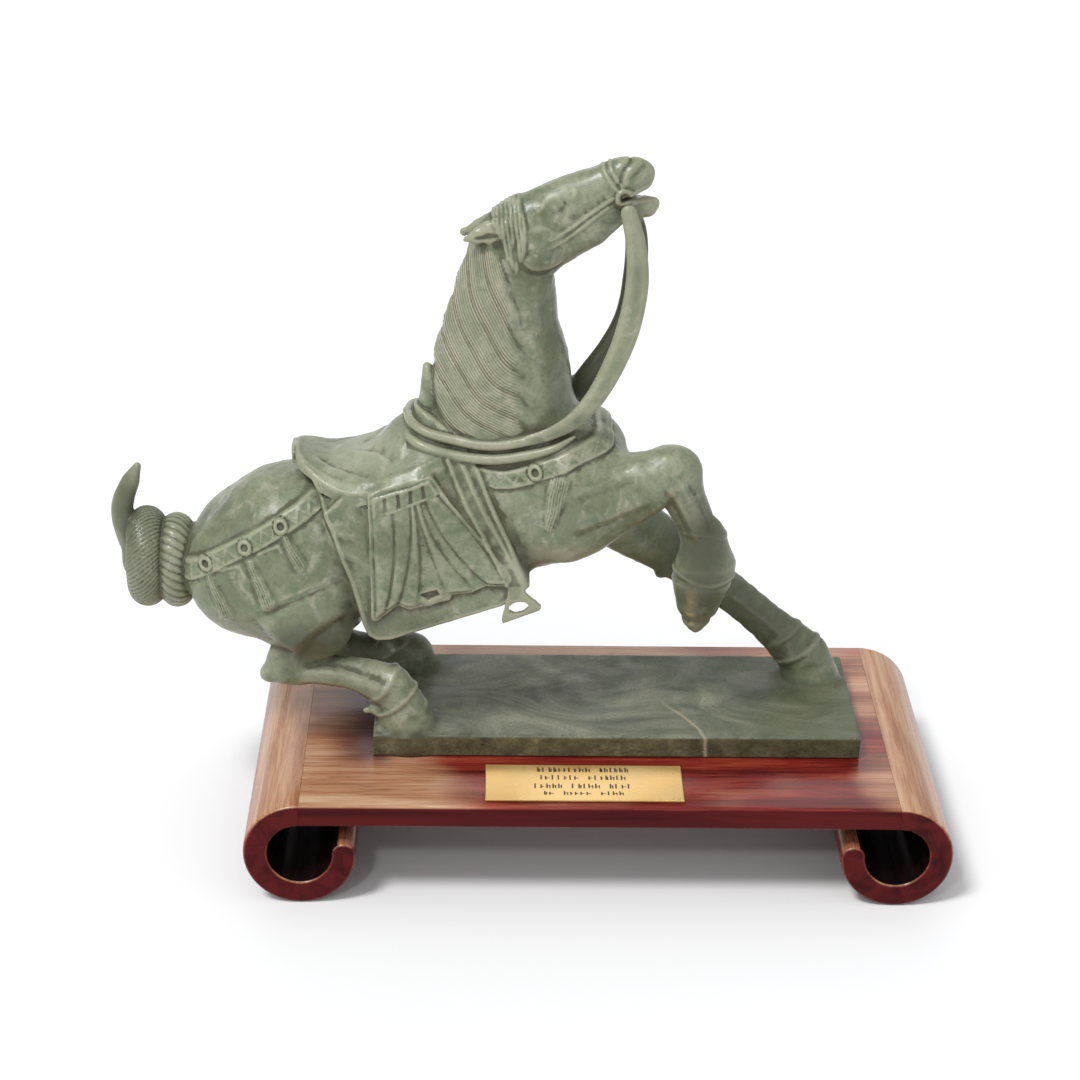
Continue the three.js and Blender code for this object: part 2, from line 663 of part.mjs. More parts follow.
// The three-cornered stirrups hanging at the front edge of the cloth
function addStirrups(field) {
  for (const side of [-1, 1]) {
    const ring = [[-41, 42 * side, 84, 2.2], [-49, 42 * side, 67, 2.6], [-32, 42 * side, 74, 2.6],
      [-41, 42 * side, 84, 2.2]];
    field.add(chain(ring), 1);
  }
}

function carveHorse() {
  const field = new Field(drawn(fieldStep));
  addTrunk(field);
  addHead(field);
  addLegs(field);
  addSaddle(field);
  carveSaddlery(field);
  carveHarness(field);
  carveMane(field);
  carveFace(field);
  addTail(field);
  addReins(field);
  addStirrups(field);
  field.settle();
  const sole = drawn(fieldStep / 4 - footDepth);
  const everywhere = [Infinity, Infinity, Infinity];
  field.visit(field.low, everywhere, (value, x, y, z) => Math.max(value, sole - z));
  field.fillHollows();
  return field;
}

// A block with every edge chamfered, centred on the origin
function chamferedBlock(length, width, height, chamfer) {
  const edge = new THREE.Shape();
  edge.moveTo(-length / 2, -width / 2);
  edge.lineTo(length / 2, -width / 2);
  edge.lineTo(length / 2, width / 2);
  edge.lineTo(-length / 2, width / 2);
  edge.closePath();
  const block = new THREE.ExtrudeGeometry(edge, {
    depth: height - 2 * chamfer,
    bevelThickness: chamfer,
    bevelSize: chamfer,
    bevelOffset: -chamfer,
    bevelSegments: 1,
  });
  block.translate(0, 0, chamfer - height / 2);
  return block;
}

function horseGeometry() {
  const slabTop = 2 * scrollRadius + jointGap + slabThickness;
  const thin = thinOut(surfaceOf(carveHorse()), horseTriangles);
  const place = [0, horseOffsetY, slabTop];
  const placed = thin.positions.map((value, n) => value * horseScale + place[n % 3]);
  const horse = solidFrom(placed, thin.triangles);
  const slab = chamferedBlock(slabLength, slabWidth, slabThickness, slabChamfer);
  slab.translate(slabOffsetX, slabOffsetY, slabTop - slabThickness / 2);
  return geometryFrom(horse.add(solidFromGeometry(slab)));
}

const scrollCentre = standWidth / 2 - scrollRadius;

const woodBevel = {
  bevelThickness: edgeRound,
  bevelSize: edgeRound,
  bevelOffset: -edgeRound,
  bevelSegments: 1,
};

// The flat board between the two rolled ends, its front and back edges rounded
function boardGeometry() {
  const halfLength = scrollCentre - jointGap / 2;
  const section = new THREE.Shape();
  section.moveTo(-halfLength, 0);
  section.lineTo(halfLength, 0);
  section.lineTo(halfLength, boardThickness);
  section.lineTo(-halfLength, boardThickness);
  section.closePath();
  const board = new THREE.ExtrudeGeometry(section, { depth: standDepth - 2 * edgeRound, ...woodBevel });
  board.translate(0, 2 * scrollRadius - boardThickness, edgeRound - standDepth / 2);
  return board.rotateX(Math.PI / 2);
}

// A rolled end: the wall turns out, down and back in round its centre, with a flat to stand on below
function scrollGeometry() {
  const half = THREE.MathUtils.degToRad(scrollStep / 2);
  const at = (degrees, radius) => {
    const angle = THREE.MathUtils.degToRad(90 - degrees);
    return new THREE.Vector2(Math.cos(angle) * radius, Math.sin(angle) * radius);
  };
  const innerRadius = scrollRadius - boardThickness;
  const outer = [new THREE.Vector2(0, scrollRadius)];
  const inner = [new THREE.Vector2(0, innerRadius)];
  for (let turn = scrollStep / 2; turn < scrollSweep; turn += scrollStep) {
    outer.push(at(turn, scrollRadius / Math.cos(half)));
    inner.push(at(turn, innerRadius / Math.cos(half)));
  }
  const tip = at(scrollSweep, (scrollRadius + innerRadius) / 2);
  const tipRadius = boardThickness / 2;
  const rounding = [];
  for (let turn = 30; turn < 180; turn += 30) {
    const angle = THREE.MathUtils.degToRad(180 - turn);
    const [sideways, up] = [Math.cos(angle) * tipRadius, Math.sin(angle) * tipRadius];
    rounding.push(new THREE.Vector2(tip.x + sideways, tip.y + up));
  }
  const section = new THREE.Shape([...outer, ...rounding, ...inner.reverse()]);
  const scroll = new THREE.ExtrudeGeometry(section, { depth: standDepth - 2 * edgeRound, ...woodBevel });
  scroll.translate(0, 0, edgeRound - standDepth / 2);
  return scroll.rotateX(Math.PI / 2);
}

function named(name, geometry, material) {
  const mesh = new THREE.Mesh(geometry, material);
  mesh.name = name;
  return mesh;
}

const stand = new THREE.Group();
stand.add(named('stand_top_board', boardGeometry(), lacquer));
const rightScroll = named('stand_scroll_right', scrollGeometry(), lacquer);
rightScroll.position.set(scrollCentre, 0, scrollRadius);
const leftScroll = named('stand_scroll_left', scrollGeometry(), lacquer);
leftScroll.position.set(-scrollCentre, 0, scrollRadius);
leftScroll.rotation.z = Math.PI;
stand.add(rightScroll, leftScroll);

const plaque = named(
  'brass_plaque',
  chamferedBlock(plaqueLength, plaqueWidth, plaqueThickness, plaqueThickness / 4),
  brass,
);
plaque.position.set(
  plaqueOffset,
  plaqueInset + plaqueWidth / 2 - standDepth / 2,
  2 * scrollRadius + jointGap + plaqueThickness / 2,
);

const group = new THREE.Group();
group.add(named('horse_carving', horseGeometry(), jade), stand, plaque);

// The origin is under the middle of the whole piece, on the surface that it stands on
const whole = new THREE.Box3().setFromObject(group);
const middle = whole.getCenter(new THREE.Vector3());
group.position.set(-middle.x, -middle.y, -whole.min.z);

export default group;
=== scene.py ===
"""Jade horse carving on its lacquered scroll stand. The horse and its slab are one carved piece, worked out as a
block of distances in the horse's own millimetres: x along the stand, y from the near flank to the far one, z up
from the top of the slab. Everything else is in metres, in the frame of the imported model."""
import itertools
import math

import bmesh
import bpy
import numpy as np
from mathutils import Matrix, Vector


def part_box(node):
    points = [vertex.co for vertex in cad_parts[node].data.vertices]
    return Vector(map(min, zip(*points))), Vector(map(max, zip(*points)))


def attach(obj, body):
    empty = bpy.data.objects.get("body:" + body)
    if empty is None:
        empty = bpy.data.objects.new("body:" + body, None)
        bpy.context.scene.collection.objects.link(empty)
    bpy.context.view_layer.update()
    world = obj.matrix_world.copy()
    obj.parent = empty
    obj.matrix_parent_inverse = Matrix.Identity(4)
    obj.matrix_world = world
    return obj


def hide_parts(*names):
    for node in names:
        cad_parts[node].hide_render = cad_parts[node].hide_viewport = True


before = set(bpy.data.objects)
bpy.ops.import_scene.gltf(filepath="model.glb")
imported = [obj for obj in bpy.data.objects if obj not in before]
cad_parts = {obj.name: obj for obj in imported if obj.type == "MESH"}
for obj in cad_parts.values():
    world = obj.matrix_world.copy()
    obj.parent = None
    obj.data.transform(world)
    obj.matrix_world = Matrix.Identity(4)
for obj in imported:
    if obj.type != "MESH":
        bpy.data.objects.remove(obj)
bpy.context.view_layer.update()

MM = 0.001
board_low, board_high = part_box("stand_top_board")
STAND_X = (board_low.x + board_high.x) / 2
SLAB_LOW = -12.0
HORSE_Y = 7 * MM
SLAB_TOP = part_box("brass_plaque")[0].z - SLAB_LOW * MM

STEP = 0.6  # between the field's points
FAR = 30.0  # the distance where no shape reaches
REACH = 7.0  # how far outside a shape its distances are worked out
HALF_BREADTH = 48.5
FINE_TRIANGLES = 198000
CELL_CORNERS = tuple(itertools.product((0, 1), repeat=3))


# ---- shapes as distances

def curve(points, steps=6):
    """Points along a smooth curve through the given ones; numbers after the third are carried along."""
    points = [np.array(p, float) for p in points]
    size = min(3, len(points[0]))
    ends = [2 * points[0] - points[1]] + points + [2 * points[-1] - points[-2]]
    fine = []
    for n in range(len(points) - 1):
        p0, p1, p2, p3 = ends[n:n + 4]
        gaps = [max(1e-4, np.linalg.norm((b - a)[:size]) ** 0.5) for a, b in ((p0, p1), (p1, p2), (p2, p3))]
        leave = ((p1 - p0) / gaps[0] - (p2 - p0) / (gaps[0] + gaps[1]) + (p2 - p1) / gaps[1]) * gaps[1]
        arrive = ((p2 - p1) / gaps[1] - (p3 - p1) / (gaps[1] + gaps[2]) + (p3 - p2) / gaps[2]) * gaps[1]
        for i in range(steps):
            t = i / steps
            at = (p1 + leave * t + (-3 * p1 + 3 * p2 - 2 * leave - arrive) * t ** 2
                  + (2 * p1 - 2 * p2 + leave + arrive) * t ** 3)
            at[size:] = (p1 + (p2 - p1) * t)[size:]
            fine.append(at)
    return fine + [points[-1]]


def outline(corners, x, z):
    """Signed distance in the side view to a closed outline, negative inside."""
    shape = np.broadcast(x, z).shape
    nearest = np.full(shape, 1e3, np.float32)
    inside = np.zeros(shape, bool)
    for (x1, z1), (x2, z2) in zip(corners, corners[1:] + corners[:1]):
        dx, dz = x2 - x1, z2 - z1
        t = np.clip(((x - x1) * dx + (z - z1) * dz) / (dx * dx + dz * dz), 0, 1)
        nearest = np.minimum(nearest, np.hypot(x - x1 - t * dx, z - z1 - t * dz))
        if z1 != z2:
            inside ^= ((z1 > z) != (z2 > z)) & (x < x1 + (z - z1) / dz * dx)
    return np.where(inside, -nearest, nearest)


def path(points, x, z):
    """Distance to a path in the side view, how far along it, and how far to its left."""
    shape = np.broadcast(x, z).shape
    best = np.full(shape, 1e3, np.float32)
    along = np.zeros(shape, np.float32)
    across = np.zeros(shape, np.float32)
    run = 0.0
    for (x1, z1), (x2, z2) in zip(points, points[1:]):
        dx, dz = x2 - x1, z2 - z1
        span = math.hypot(dx, dz)
        t = np.clip(((x - x1) * dx + (z - z1) * dz) / span ** 2, 0, 1)
        gx, gz = x - x1 - t * dx, z - z1 - t * dz
        distance = np.hypot(gx, gz)
        nearer = distance < best
        best = np.where(nearer, distance, best)
        along = np.where(nearer, run + t * span, along)
        across = np.where(nearer, np.sign(dx * gz - dz * gx) * distance, across)
        run += span
    return best, along, across


def rise(distance, height, slope=1.2):
    """A raised area with a soft edge where the distance is 0."""
    t = np.clip(0.5 - distance / slope, 0, 1)
    return height * t * t * (3 - 2 * t)


def ridge(distance, height, width):
    return height * np.exp(-(distance / width) ** 2)


def drawn(points, x, z, height, width):
    """A ridge along a smooth line, or a groove where the height is below 0."""
    return ridge(path(curve(points), x, z)[0], height, width)


def fold(points, x, z, height, width):
    """A soft step in the surface: higher to the left of the path, lower to its right."""
    distance, along, across = path(points, x, z)
    length = sum(math.dist(a, b) for a, b in zip(points, points[1:]))
    fade = rise(4.5 - np.minimum(along, length - along), height, 9)
    return fade * np.tanh(across / width) * np.exp(-(distance / (3.5 * width)) ** 2)


def bend(points):
    (x0, z0), (x1, z1), (x2, z2) = points
    return lambda z: (x0 * (z - z1) * (z - z2) / ((z0 - z1) * (z0 - z2))
                      + x1 * (z - z0) * (z - z2) / ((z1 - z0) * (z1 - z2))
                      + x2 * (z - z0) * (z - z1) / ((z2 - z0) * (z2 - z1)))


def ripple(x, y, z, size, seed):
    """A gentle unevenness between about -1 and 1, with waves about size long."""
    random = np.random.default_rng(seed)
    total = 0
    for _ in range(5):
        a, b, c = random.uniform(0.6, 1.5, 3) * (2 * math.pi / size)
        p, q, r = random.uniform(0, 2 * math.pi, 3)
        total = total + np.sin(a * x + p) * np.sin(b * y + q) * np.sin(c * z + r)
    return total * 0.6


class Field:
    def __init__(self, low, high, step):
        self.low = np.array(low, float)
        self.step = step
        self.count = np.ceil((np.array(high) - self.low) / step).astype(int) + 1
        self.values = np.full(self.count, FAR, np.float32)
        self.axes = [(self.low[a] + step * np.arange(self.count[a])).astype(np.float32) for a in range(3)]

    def window(self, low, high):
        slices = []
        for a in range(3):
            first = int(np.clip((low[a] - self.low[a]) // self.step, 0, self.count[a]))
            last = int(np.clip((high[a] - self.low[a]) // self.step + 2, first, self.count[a]))
            slices.append(slice(first, last))
        x, y, z = (self.axes[a][slices[a]] for a in range(3))
        return tuple(slices), x[:, None, None], y[None, :, None], z[None, None, :]

    def join(self, slices, other, soft):
        """Joins another shape's distances, with a fillet about as wide as soft."""
        value, other = self.values[slices], other.astype(np.float32)
        overlap = np.maximum(soft - np.abs(value - other), 0) / soft
        self.values[slices] = np.minimum(value, other) - overlap * overlap * (soft / 4)

    def chain_distance(self, points, flat, margin):
        points = np.array(points, float)
        reach = points[:, 3:] * np.array([1, flat, 1])
        grown = margin * np.array([1, max(flat, 1), 1])
        low = points[:, :3] - reach - grown
        high = points[:, :3] + reach + grown
        slices, _, _, _ = self.window(low.min(0), high.max(0))
        other = np.full([s.stop - s.start for s in slices], FAR, np.float32)
        for n in range(len(points) - 1):
            inner, x, y, z = self.window(np.minimum(low[n], low[n + 1]), np.maximum(high[n], high[n + 1]))
            local = tuple(slice(i.start - s.start, i.stop - s.start) for i, s in zip(inner, slices))
            (x0, y0, z0, r0), (x1, y1, z1, r1) = points[n], points[n + 1]
            ax, ay, az = x1 - x0, (y1 - y0) / flat, z1 - z0
            squared = ax * ax + ay * ay + az * az
            dx, dy, dz = x - np.float32(x0), (y - np.float32(y0)) / np.float32(flat), z - np.float32(z0)
            ax, ay, az, squared = (np.float32(value) for value in (ax, ay, az, squared))
            t = np.clip((dx * ax + dy * ay + dz * az) / squared, 0, 1)
            gap = np.sqrt((dx - t * ax) ** 2 + (dy - t * ay) ** 2 + (dz - t * az) ** 2)
            gap -= np.float32(r0) + t * np.float32(r1 - r0)
            other[local] = np.minimum(other[local], gap)
        return slices, other

    def add_chain(self, points, soft, flat=1.0):
        slices, other = self.chain_distance(points, flat, soft + REACH)
        self.join(slices, other, soft)

    def cut_chain(self, points, flat=1.0):
        slices, other = self.chain_distance(points, flat, REACH)
        self.values[slices] = np.maximum(self.values[slices], -other)

    def add_ball(self, centre, radii, soft):
        low = np.array(centre) - radii - (soft + REACH)
        high = np.array(centre) + radii + (soft + REACH)
        slices, x, y, z = self.window(low, high)
        parts = [(g - c) / r for g, c, r in zip((x, y, z), centre, radii)]
        unit = np.sqrt(sum(p ** 2 for p in parts))
        slope = np.sqrt(sum((p / r) ** 2 for p, r in zip(parts, radii)))
        self.join(slices, unit * (unit - 1) / np.maximum(slope, 1e-6), soft)

    def cut_below(self, high_x, height, high_z):
        """Takes away what lies under a height, as far as high_x, in the cells up to high_z."""
        slices, _, _, z = self.window([-300, -60, -20], [high_x, 60, high_z])
        self.values[slices] = np.maximum(self.values[slices], height - z)

    def carve(self, low, high, height, side=0):
        """Moves the surface out by height(x, z) in the side view; side -1 is the near flank, 1 the far one."""
        slices, x, y, z = self.window([low[0], -HALF_BREADTH, low[1]], [high[0], HALF_BREADTH, high[1]])
        amount = height(x, z).astype(np.float32)
        weight = np.clip(0.5 + side * y / 5, 0, 1) if side else np.float32(1)
        self.values[slices] -= amount * weight


# ---- the body

def add_trunk(field):
    field.add_chain(curve([[-156, 0, 88, 41], [-108, 0, 95, 41], [-62, 0, 110, 40], [-22, 0, 122, 39]]), 6, 0.94)
    neck = [[-49, 0, 158, 35.5], [-50, 0, 186, 32.5], [-50, 0, 205, 27], [-48, 0, 226, 23], [-48, 0, 243, 17]]
    field.add_chain(curve(neck), 14, 0.76)
    for side in (-1, 1):
        field.add_chain(curve([[-174, 14 * side, 78, 35], [-148, 14 * side, 91, 32]]), 8, 0.75)
        field.add_ball([-15, 18 * side, 127], [26, 20, 31], 12)


def add_head(field):
    skull = [[-50, 0, 250, 15], [-36, 0, 254, 20], [-18, 0, 266, 16.5], [0, 0, 275, 14], [8, 0, 281.4, 11],
             [14.5, 0, 284, 7]]
    field.add_chain(curve(skull), 5, 0.74)
    field.add_chain([[6, 0, 278, 8], [14, 0, 280, 5.2]], 3, 0.8)
    field.add_chain(curve([[-30, 0, 247, 12], [-10, 0, 259, 12], [6, 0, 266.5, 6.4], [18, 0, 267.3, 5]]), 4, 0.8)
    field.add_chain([[16, 0, 268.3, 4], [21.3, 0, 269.4, 2.9]], 2, 0.9)
    field.add_ball([-47, 0, 256], [10, 10, 8], 5)
    for side, drop in ((-1, 0), (1, 4)):
        ear = [[-51, 10 * side, 258 - drop, 5], [-57, 12 * side, 258 - drop, 5.4],
               [-62, 12.5 * side, 256.5 - drop, 4], [-68.5, 12.5 * side, 254.5 - drop, 1.2]]
        field.add_chain(ear, 2, 0.7)
        hollow = [[-53, 15.4 * side, 256.5 - drop, 1.6], [-58, 16 * side, 256 - drop, 2.6],
                  [-64, 15 * side, 255 - drop, 1.2]]
        field.cut_chain(hollow, 0.8)


def add_legs(field):
    near_fore = [[-20, -18, 116, 26], [4, -23, 125, 19], [24, -25, 135, 15.5], [33, -25, 139, 13.5],
                 [40, -25, 126, 11], [46, -25, 113, 10], [51, -25, 101, 10.5]]
    field.add_chain(curve(near_fore), 8, 0.85)
    field.add_ball([36, -25, 141], np.array([11.5, 9.5, 10.5]), 5)
    field.add_chain([[51, -25, 104, 11], [52, -25, 90, 15.5]], 3, 0.85)
    hoof = [[50.5, -25, 80, 15], [49.5, -25, 69, 11.4], [49, -24, 60, 7.6], [49, -24, 55.5, 4.8],
            [49, -24, 52.6, 2.6], [49, -24, 51.6, 1.4]]
    field.add_chain(hoof, 0.8, 0.85)
    far_fore = [[-10, 16, 112, 24], [12, 20, 93, 17], [34, 22, 77, 14], [54, 22, 62, 11.5], [74, 22, 47, 10],
                [90, 22, 33, 10], [104, 22, 20, 12]]
    field.add_chain(curve(far_fore), 8, 0.85)
    field.add_chain([[104, 22, 20, 12], [110, 22, 13, 14]], 2, 0.8)
    field.add_chain([[113, 21, 10, 13.5], [116, 20, -6, 18]], 1.5, 0.78)
    near_hind = [[-152, -20, 68, 31], [-145, -26, 51, 18], [-158, -30, 33, 9.5], [-142, -31, 31, 9],
                 [-124, -32, 29, 9.5], [-108, -33, 23, 12]]
    field.add_chain(curve(near_hind), 7, 0.85)
    field.add_chain([[-158, -30, 32, 8], [-167, -30, 28, 5]], 4, 0.85)
    field.add_chain([[-106, -33, 21, 12.5], [-99, -34, 8, 13.5], [-96, -34, -6, 15.5]], 1.5, 0.8)
    far_hind = [[-148, 20, 68, 31], [-138, 25, 46, 20], [-150, 28, 24, 11], [-136, 29, 15, 10],
                [-120, 29, 11, 9.5], [-108, 30, 10, 11]]
    field.add_chain(curve(far_hind), 8, 0.85)
    field.add_chain([[-108, 30, 10, 11], [-98, 31, 6, 13], [-97, 31, -6, 14]], 2, 0.85)
    for point, radius in (([-113, -38, 12, 0], 3.2), ([-118, -38, 11, 0], 1.6)):
        field.add_ball(point[:3], np.array([radius] * 3), 3)
    field.add_chain([[36, 20, 66, 5], [33, 19, 62, 2.5]], 3)


def profile(points, x):
    fine = np.array(curve(points))
    return np.interp(x, fine[:, 0], fine[:, 1]).astype(np.float32)


SEAT_BACK, SEAT_FRONT = -153, -76
# Along x: the seat's half width, the height of its rim and of its middle
SEAT_HALF = [[-153, 7], [-150, 13.5], [-146, 18.5], [-136, 26], [-125, 31.5], [-114, 34.5], [-104, 35.5],
             [-94, 35], [-87, 33], [-80, 30], [-76, 26]]
SEAT_RIM = [[-153, 140], [-147, 136.5], [-136, 131], [-125, 129.5], [-116, 131], [-106, 134.5],
            [-96, 138], [-88, 141], [-80, 143], [-76, 143]]
SEAT_MIDDLE = [[-153, 141.5], [-147, 139.5], [-136, 137], [-121, 139], [-106, 145], [-96, 150],
               [-88, 153.5], [-80, 155], [-76, 154]]
SEAT_CREASES = [[[-146, 8], [-130, 20], [-110, 33]], [[-126, 1], [-114, 12], [-101, 32]],
                [[-92, 8], [-96, 18], [-101, 32]]]


def add_saddle(field):
    saddle = [[-138, 0, 106, 24], [-118, 0, 107, 26], [-100, 0, 118, 26], [-88, 0, 132, 25]]
    field.add_chain(curve(saddle), 4, 1.25)
    field.add_chain([[-86, 0, 158, 7], [-87, 0, 172, 4], [-88, 0, 184, 1.6]], 2, 1.3)
    field.add_chain([[-80, 0, 154, 9], [-84, 0, 169, 5], [-87.5, 0, 182, 1.8]], 1, 1.3)
    field.add_ball([-84, 0, 149], [14.5, 21, 12.5], 4)
    field.add_chain([[-144, 0, 128, 6], [-134, 0, 120, 14]], 3, 1.3)
    slices, x, y, z = field.window([-160, -48, 40], [-24, 48, 150])
    flap_inside, skirt_inside = 20, 25
    wall = np.clip(41 - (z - 95) * 0.3, 24, 41)
    flap = np.maximum(outline(FLAP, x, z), np.maximum(np.abs(y) - wall, flap_inside - np.abs(y)))
    field.join(slices, flap, 5)
    wall = np.clip(36.4 + (130 - z) * 0.14, 36, 43)
    panel = np.maximum(outline(SKIRT, x, z), np.maximum((np.abs(y) - wall) * 0.98, skirt_inside - np.abs(y)))
    field.join(slices, panel, 1)
    slices, x, y, z = field.window([-160, -44, 105], [-74, 44, 168])
    half, rim, middle = (profile(points, x) for points in (SEAT_HALF, SEAT_RIM, SEAT_MIDDLE))
    share = np.clip(np.abs(y) / half, 0, 1.2)
    top = middle - (middle - rim) * share ** 2.4
    edge = np.maximum((np.abs(y) - half) * 0.85, np.maximum(SEAT_BACK - x, x - SEAT_FRONT))
    rim_thick, overhang = 2.6, 6
    under = np.minimum(top - rim_thick - z, np.maximum(np.abs(y) - half + overhang, -144 - x) * 0.8)
    plate = np.maximum(np.maximum((z - top) * 0.85, edge), np.maximum(under, 108 - z))
    plate -= ridge(edge + 1.4, 0.4, 1.1)
    field.join(slices, plate, 1.5)
    for points in SEAT_CREASES:
        amount = fold(curve(points), x[:, :, 0], np.abs(y[:, :, 0]), 0.55, 1.3)
        field.values[slices] -= (amount[:, :, None] * rise(122 - z, 1, 8) * (share < 1.1)).astype(np.float32)


# ---- the carving on both flanks

CLOTH = [[-162, 152], [-158, 136], [-144, 132], [-134.5, 112], [-124.8, 86.5], [-118.5, 62], [-116, 56], [-112, 53.6],
         [-105, 53.7], [-95, 57.5], [-49.5, 73.3], [-36, 84], [-48, 112], [-61, 141], [-72, 158], [-100, 168]]
FLAP = [[-138, 116], [-131, 102], [-124.8, 86.5], [-118.5, 62], [-116, 56], [-112, 53.6], [-105, 53.7],
        [-95, 57.5], [-49.5, 73.3], [-36, 84], [-48, 112], [-61, 141], [-80, 146], [-118, 132], [-130, 124]]
BELT = [[-113.5, 129], [-105, 132.4], [-95, 135.4], [-85.5, 139.5], [-81, 132.5], [-85.3, 129.7], [-93.1, 126.6],
        [-102.9, 122.4], [-113, 120]]
STITCHES = [[[-107.5, 131], [-107, 122]], [[-101, 133], [-100.5, 124]], [[-95, 135], [-94.5, 127]],
            [[-89, 137], [-88, 129]]]
FOLDS = [[[-114, 124], [-112.6, 100], [-112, 67]], [[-103.5, 121], [-102.8, 106], [-107, 72]],
         [[-94.6, 124], [-94.8, 106], [-101, 75]], [[-92.6, 124], [-90.8, 106], [-91.2, 78]],
         [[-91.8, 124], [-86, 106], [-76, 80]], [[-89.5, 125], [-81, 104.5], [-64, 84]],
         [[-86.4, 126], [-75, 106], [-58.5, 88]], [[-81.5, 131], [-67.5, 115], [-47, 87]]]
FOLD_HEIGHTS = [1.5, 1.3, 1.2, 0.2, 0.9, 0.3, 1.6]
SKIRT = [[-114, 129.5], [-113.5, 115], [-112.6, 100], [-112.6, 67], [-105.5, 73], [-101, 76.5], [-95, 74],
         [-86, 76], [-76.5, 79.5], [-76, 82], [-65, 83.5], [-58, 87], [-49, 87], [-47, 89], [-56, 101],
         [-66, 113.5], [-76, 125.5], [-81, 132.5], [-85.5, 139.5], [-95, 135.4], [-105, 132.4]]
CLOTH_FOLDS = [([[-141, 114.5], [-128, 109], [-115, 107]], 1.3, 2.2),
               ([[-138, 102.5], [-127, 99], [-114, 94.5]], 1.2, 2.2),
               ([[-128, 88], [-121, 85.5], [-113, 83.5]], 0.4, 3)]
STRAPS = [[[-77, 146], [-69, 128], [-57, 106], [-47, 85]], [[-69, 143], [-60, 125], [-45, 98], [-39, 85]],
          [[-62, 141], [-55, 126], [-44, 104], [-36, 86]]]


def saddlery(x, z):
    cloth = outline(CLOTH, x, z)
    skirt_edge = outline(SKIRT, x, z)
    belt = outline(BELT, x, z)
    height = rise(cloth, 1.8, 1.0) + rise(cloth, 1, 1.0) * ridge(cloth + 1.3, 0.45, 0.9) * rise(z - 132, 1, 8)
    height += rise(belt, 0.9, 0.8) + ridge(belt + 0.8, 0.4, 0.6) * rise(belt, 1, 1)
    for stitch in STITCHES:
        height += ridge(path(stitch, x, z)[0], -0.9, 0.75) * rise(belt + 1.2, 1, 1)
    plain = rise(cloth, 1, 1) * rise(-skirt_edge - 1, 1, 1)
    for points, amount, width in CLOTH_FOLDS:
        height += plain * fold(curve(points), x, z, amount, width)
    lines = [path(curve(strap), x, z) for strap in STRAPS]
    band = rise(-lines[0][2] - 0.2, 1, 1) * rise(lines[2][2] - 0.2, 1, 1) * rise(cloth + 0.5, 1, 1)
    height += band * rise(lines[1][2], 0.5, 1) + plain * ridge(lines[0][0], 0.9, 1.1)
    return height + plain * (ridge(lines[1][0], 0.9, 1.2) + ridge(lines[2][0], 0.8, 1.2))


def skirt(x, z):
    mask = rise(outline(SKIRT, x, z), 1, 0.8) * rise(-outline(BELT, x, z), 1, 0.8)
    edges = [bend(line)(z) for line in FOLDS]
    height = np.zeros(np.broadcast(x, z).shape, np.float32)
    for amount, left, right in zip(FOLD_HEIGHTS, edges, edges[1:]):
        across = (x - left) / np.maximum(right - left, 0.5)
        panel = (across > 0) & (across <= 1)
        height += np.where(panel, amount * np.sin(math.pi * np.clip(across, 0.001, 0.999)) ** 0.45, 0)
    height = mask * height
    height += mask * fold(curve([[-84, 116], [-77, 104], [-70, 94]]), x, z, 0.3, 2)
    return height - rise(outline([[-90, 80.5], [-82, 83], [-80.5, 80.5], [-86, 77.5]], x, z), 1.8, 1)


CRUPPER = [[-209, 81.5], [-196, 90.5], [-184, 97.8], [-173, 103.7], [-160, 111.5], [-150, 117.5], [-142, 123]]
BREAST = [[-62, 139], [-51, 137], [-41, 139], [-32, 143], [-22, 147], [-10, 152], [3, 155]]
BOSSES = [[-197, 90.5], [-177, 101], [-159, 112], [-34, 142.3]]
# Each tassel: the top, the tip, and the half-widths there
TASSELS = [[[-195.5, 85], [-187, 64], 1.2, 3.8], [[-174.5, 94], [-165.5, 73.5], 1.2, 3.8],
           [[-157, 107], [-149.5, 94], 1.2, 3.0], [[-22.5, 137], [-27, 116], 5, 1.8]]
SCALLOPS = [[[-193.5, 88], [-185, 90.5], [-180, 91.5], [-177, 87]],
            [[-170, 98.5], [-164, 101.5], [-160, 102.5], [-158.5, 100]]]


def harness(x, z):
    height = np.zeros(np.broadcast(x, z).shape, np.float32)
    for line, half in ((CRUPPER, 4.4), (BREAST, 4.0)):
        distance, along, across = path(curve(line), x, z)
        strap = rise(distance - half, 1.0, 1.4) + ridge(distance - half + 0.9, 0.25, 0.6)
        saw = (2 * np.abs((along / 7) % 1 - 0.5) - 0.5) * 2 * (half - 1.8)
        strap += rise(distance - half + 1.4, 1, 0.8) * ridge(across - saw, 0.35, 0.8)
        height = np.maximum(height, strap)
    for top, tip, half_top, half_tip in TASSELS:
        distance, along, _ = path([top, tip], x, z)
        share = along / math.dist(top, tip)
        aside = x - top[0] - (z - top[1]) * (tip[0] - top[0]) / (tip[1] - top[1])
        comb = 0.5 + 0.5 * np.cos(aside * 4.3 + 1.2 * np.sin(along * 0.35))
        leaf = rise(distance - half_top - (half_tip - half_top) * share, 1.1, 3) * (0.45 + 0.9 * comb)
        height = np.maximum(height, leaf)
    for centre in BOSSES:
        out = np.hypot(x - centre[0], z - centre[1])
        disc = rise(out - 3.8, 1.5, 1.4) + ridge(out - 2.8, 0.25, 0.9) - rise(out - 1.5, 2.6, 0.9)
        height = np.where(out < 5, np.maximum(disc, height * (out > 4.2)), height)
    for scallop in SCALLOPS:
        height = np.maximum(height, rise(path(curve(scallop), x, z)[0] - 0.6, 0.6, 1.4))
    return height * rise(-outline(CLOTH, x, z), 1, 1)


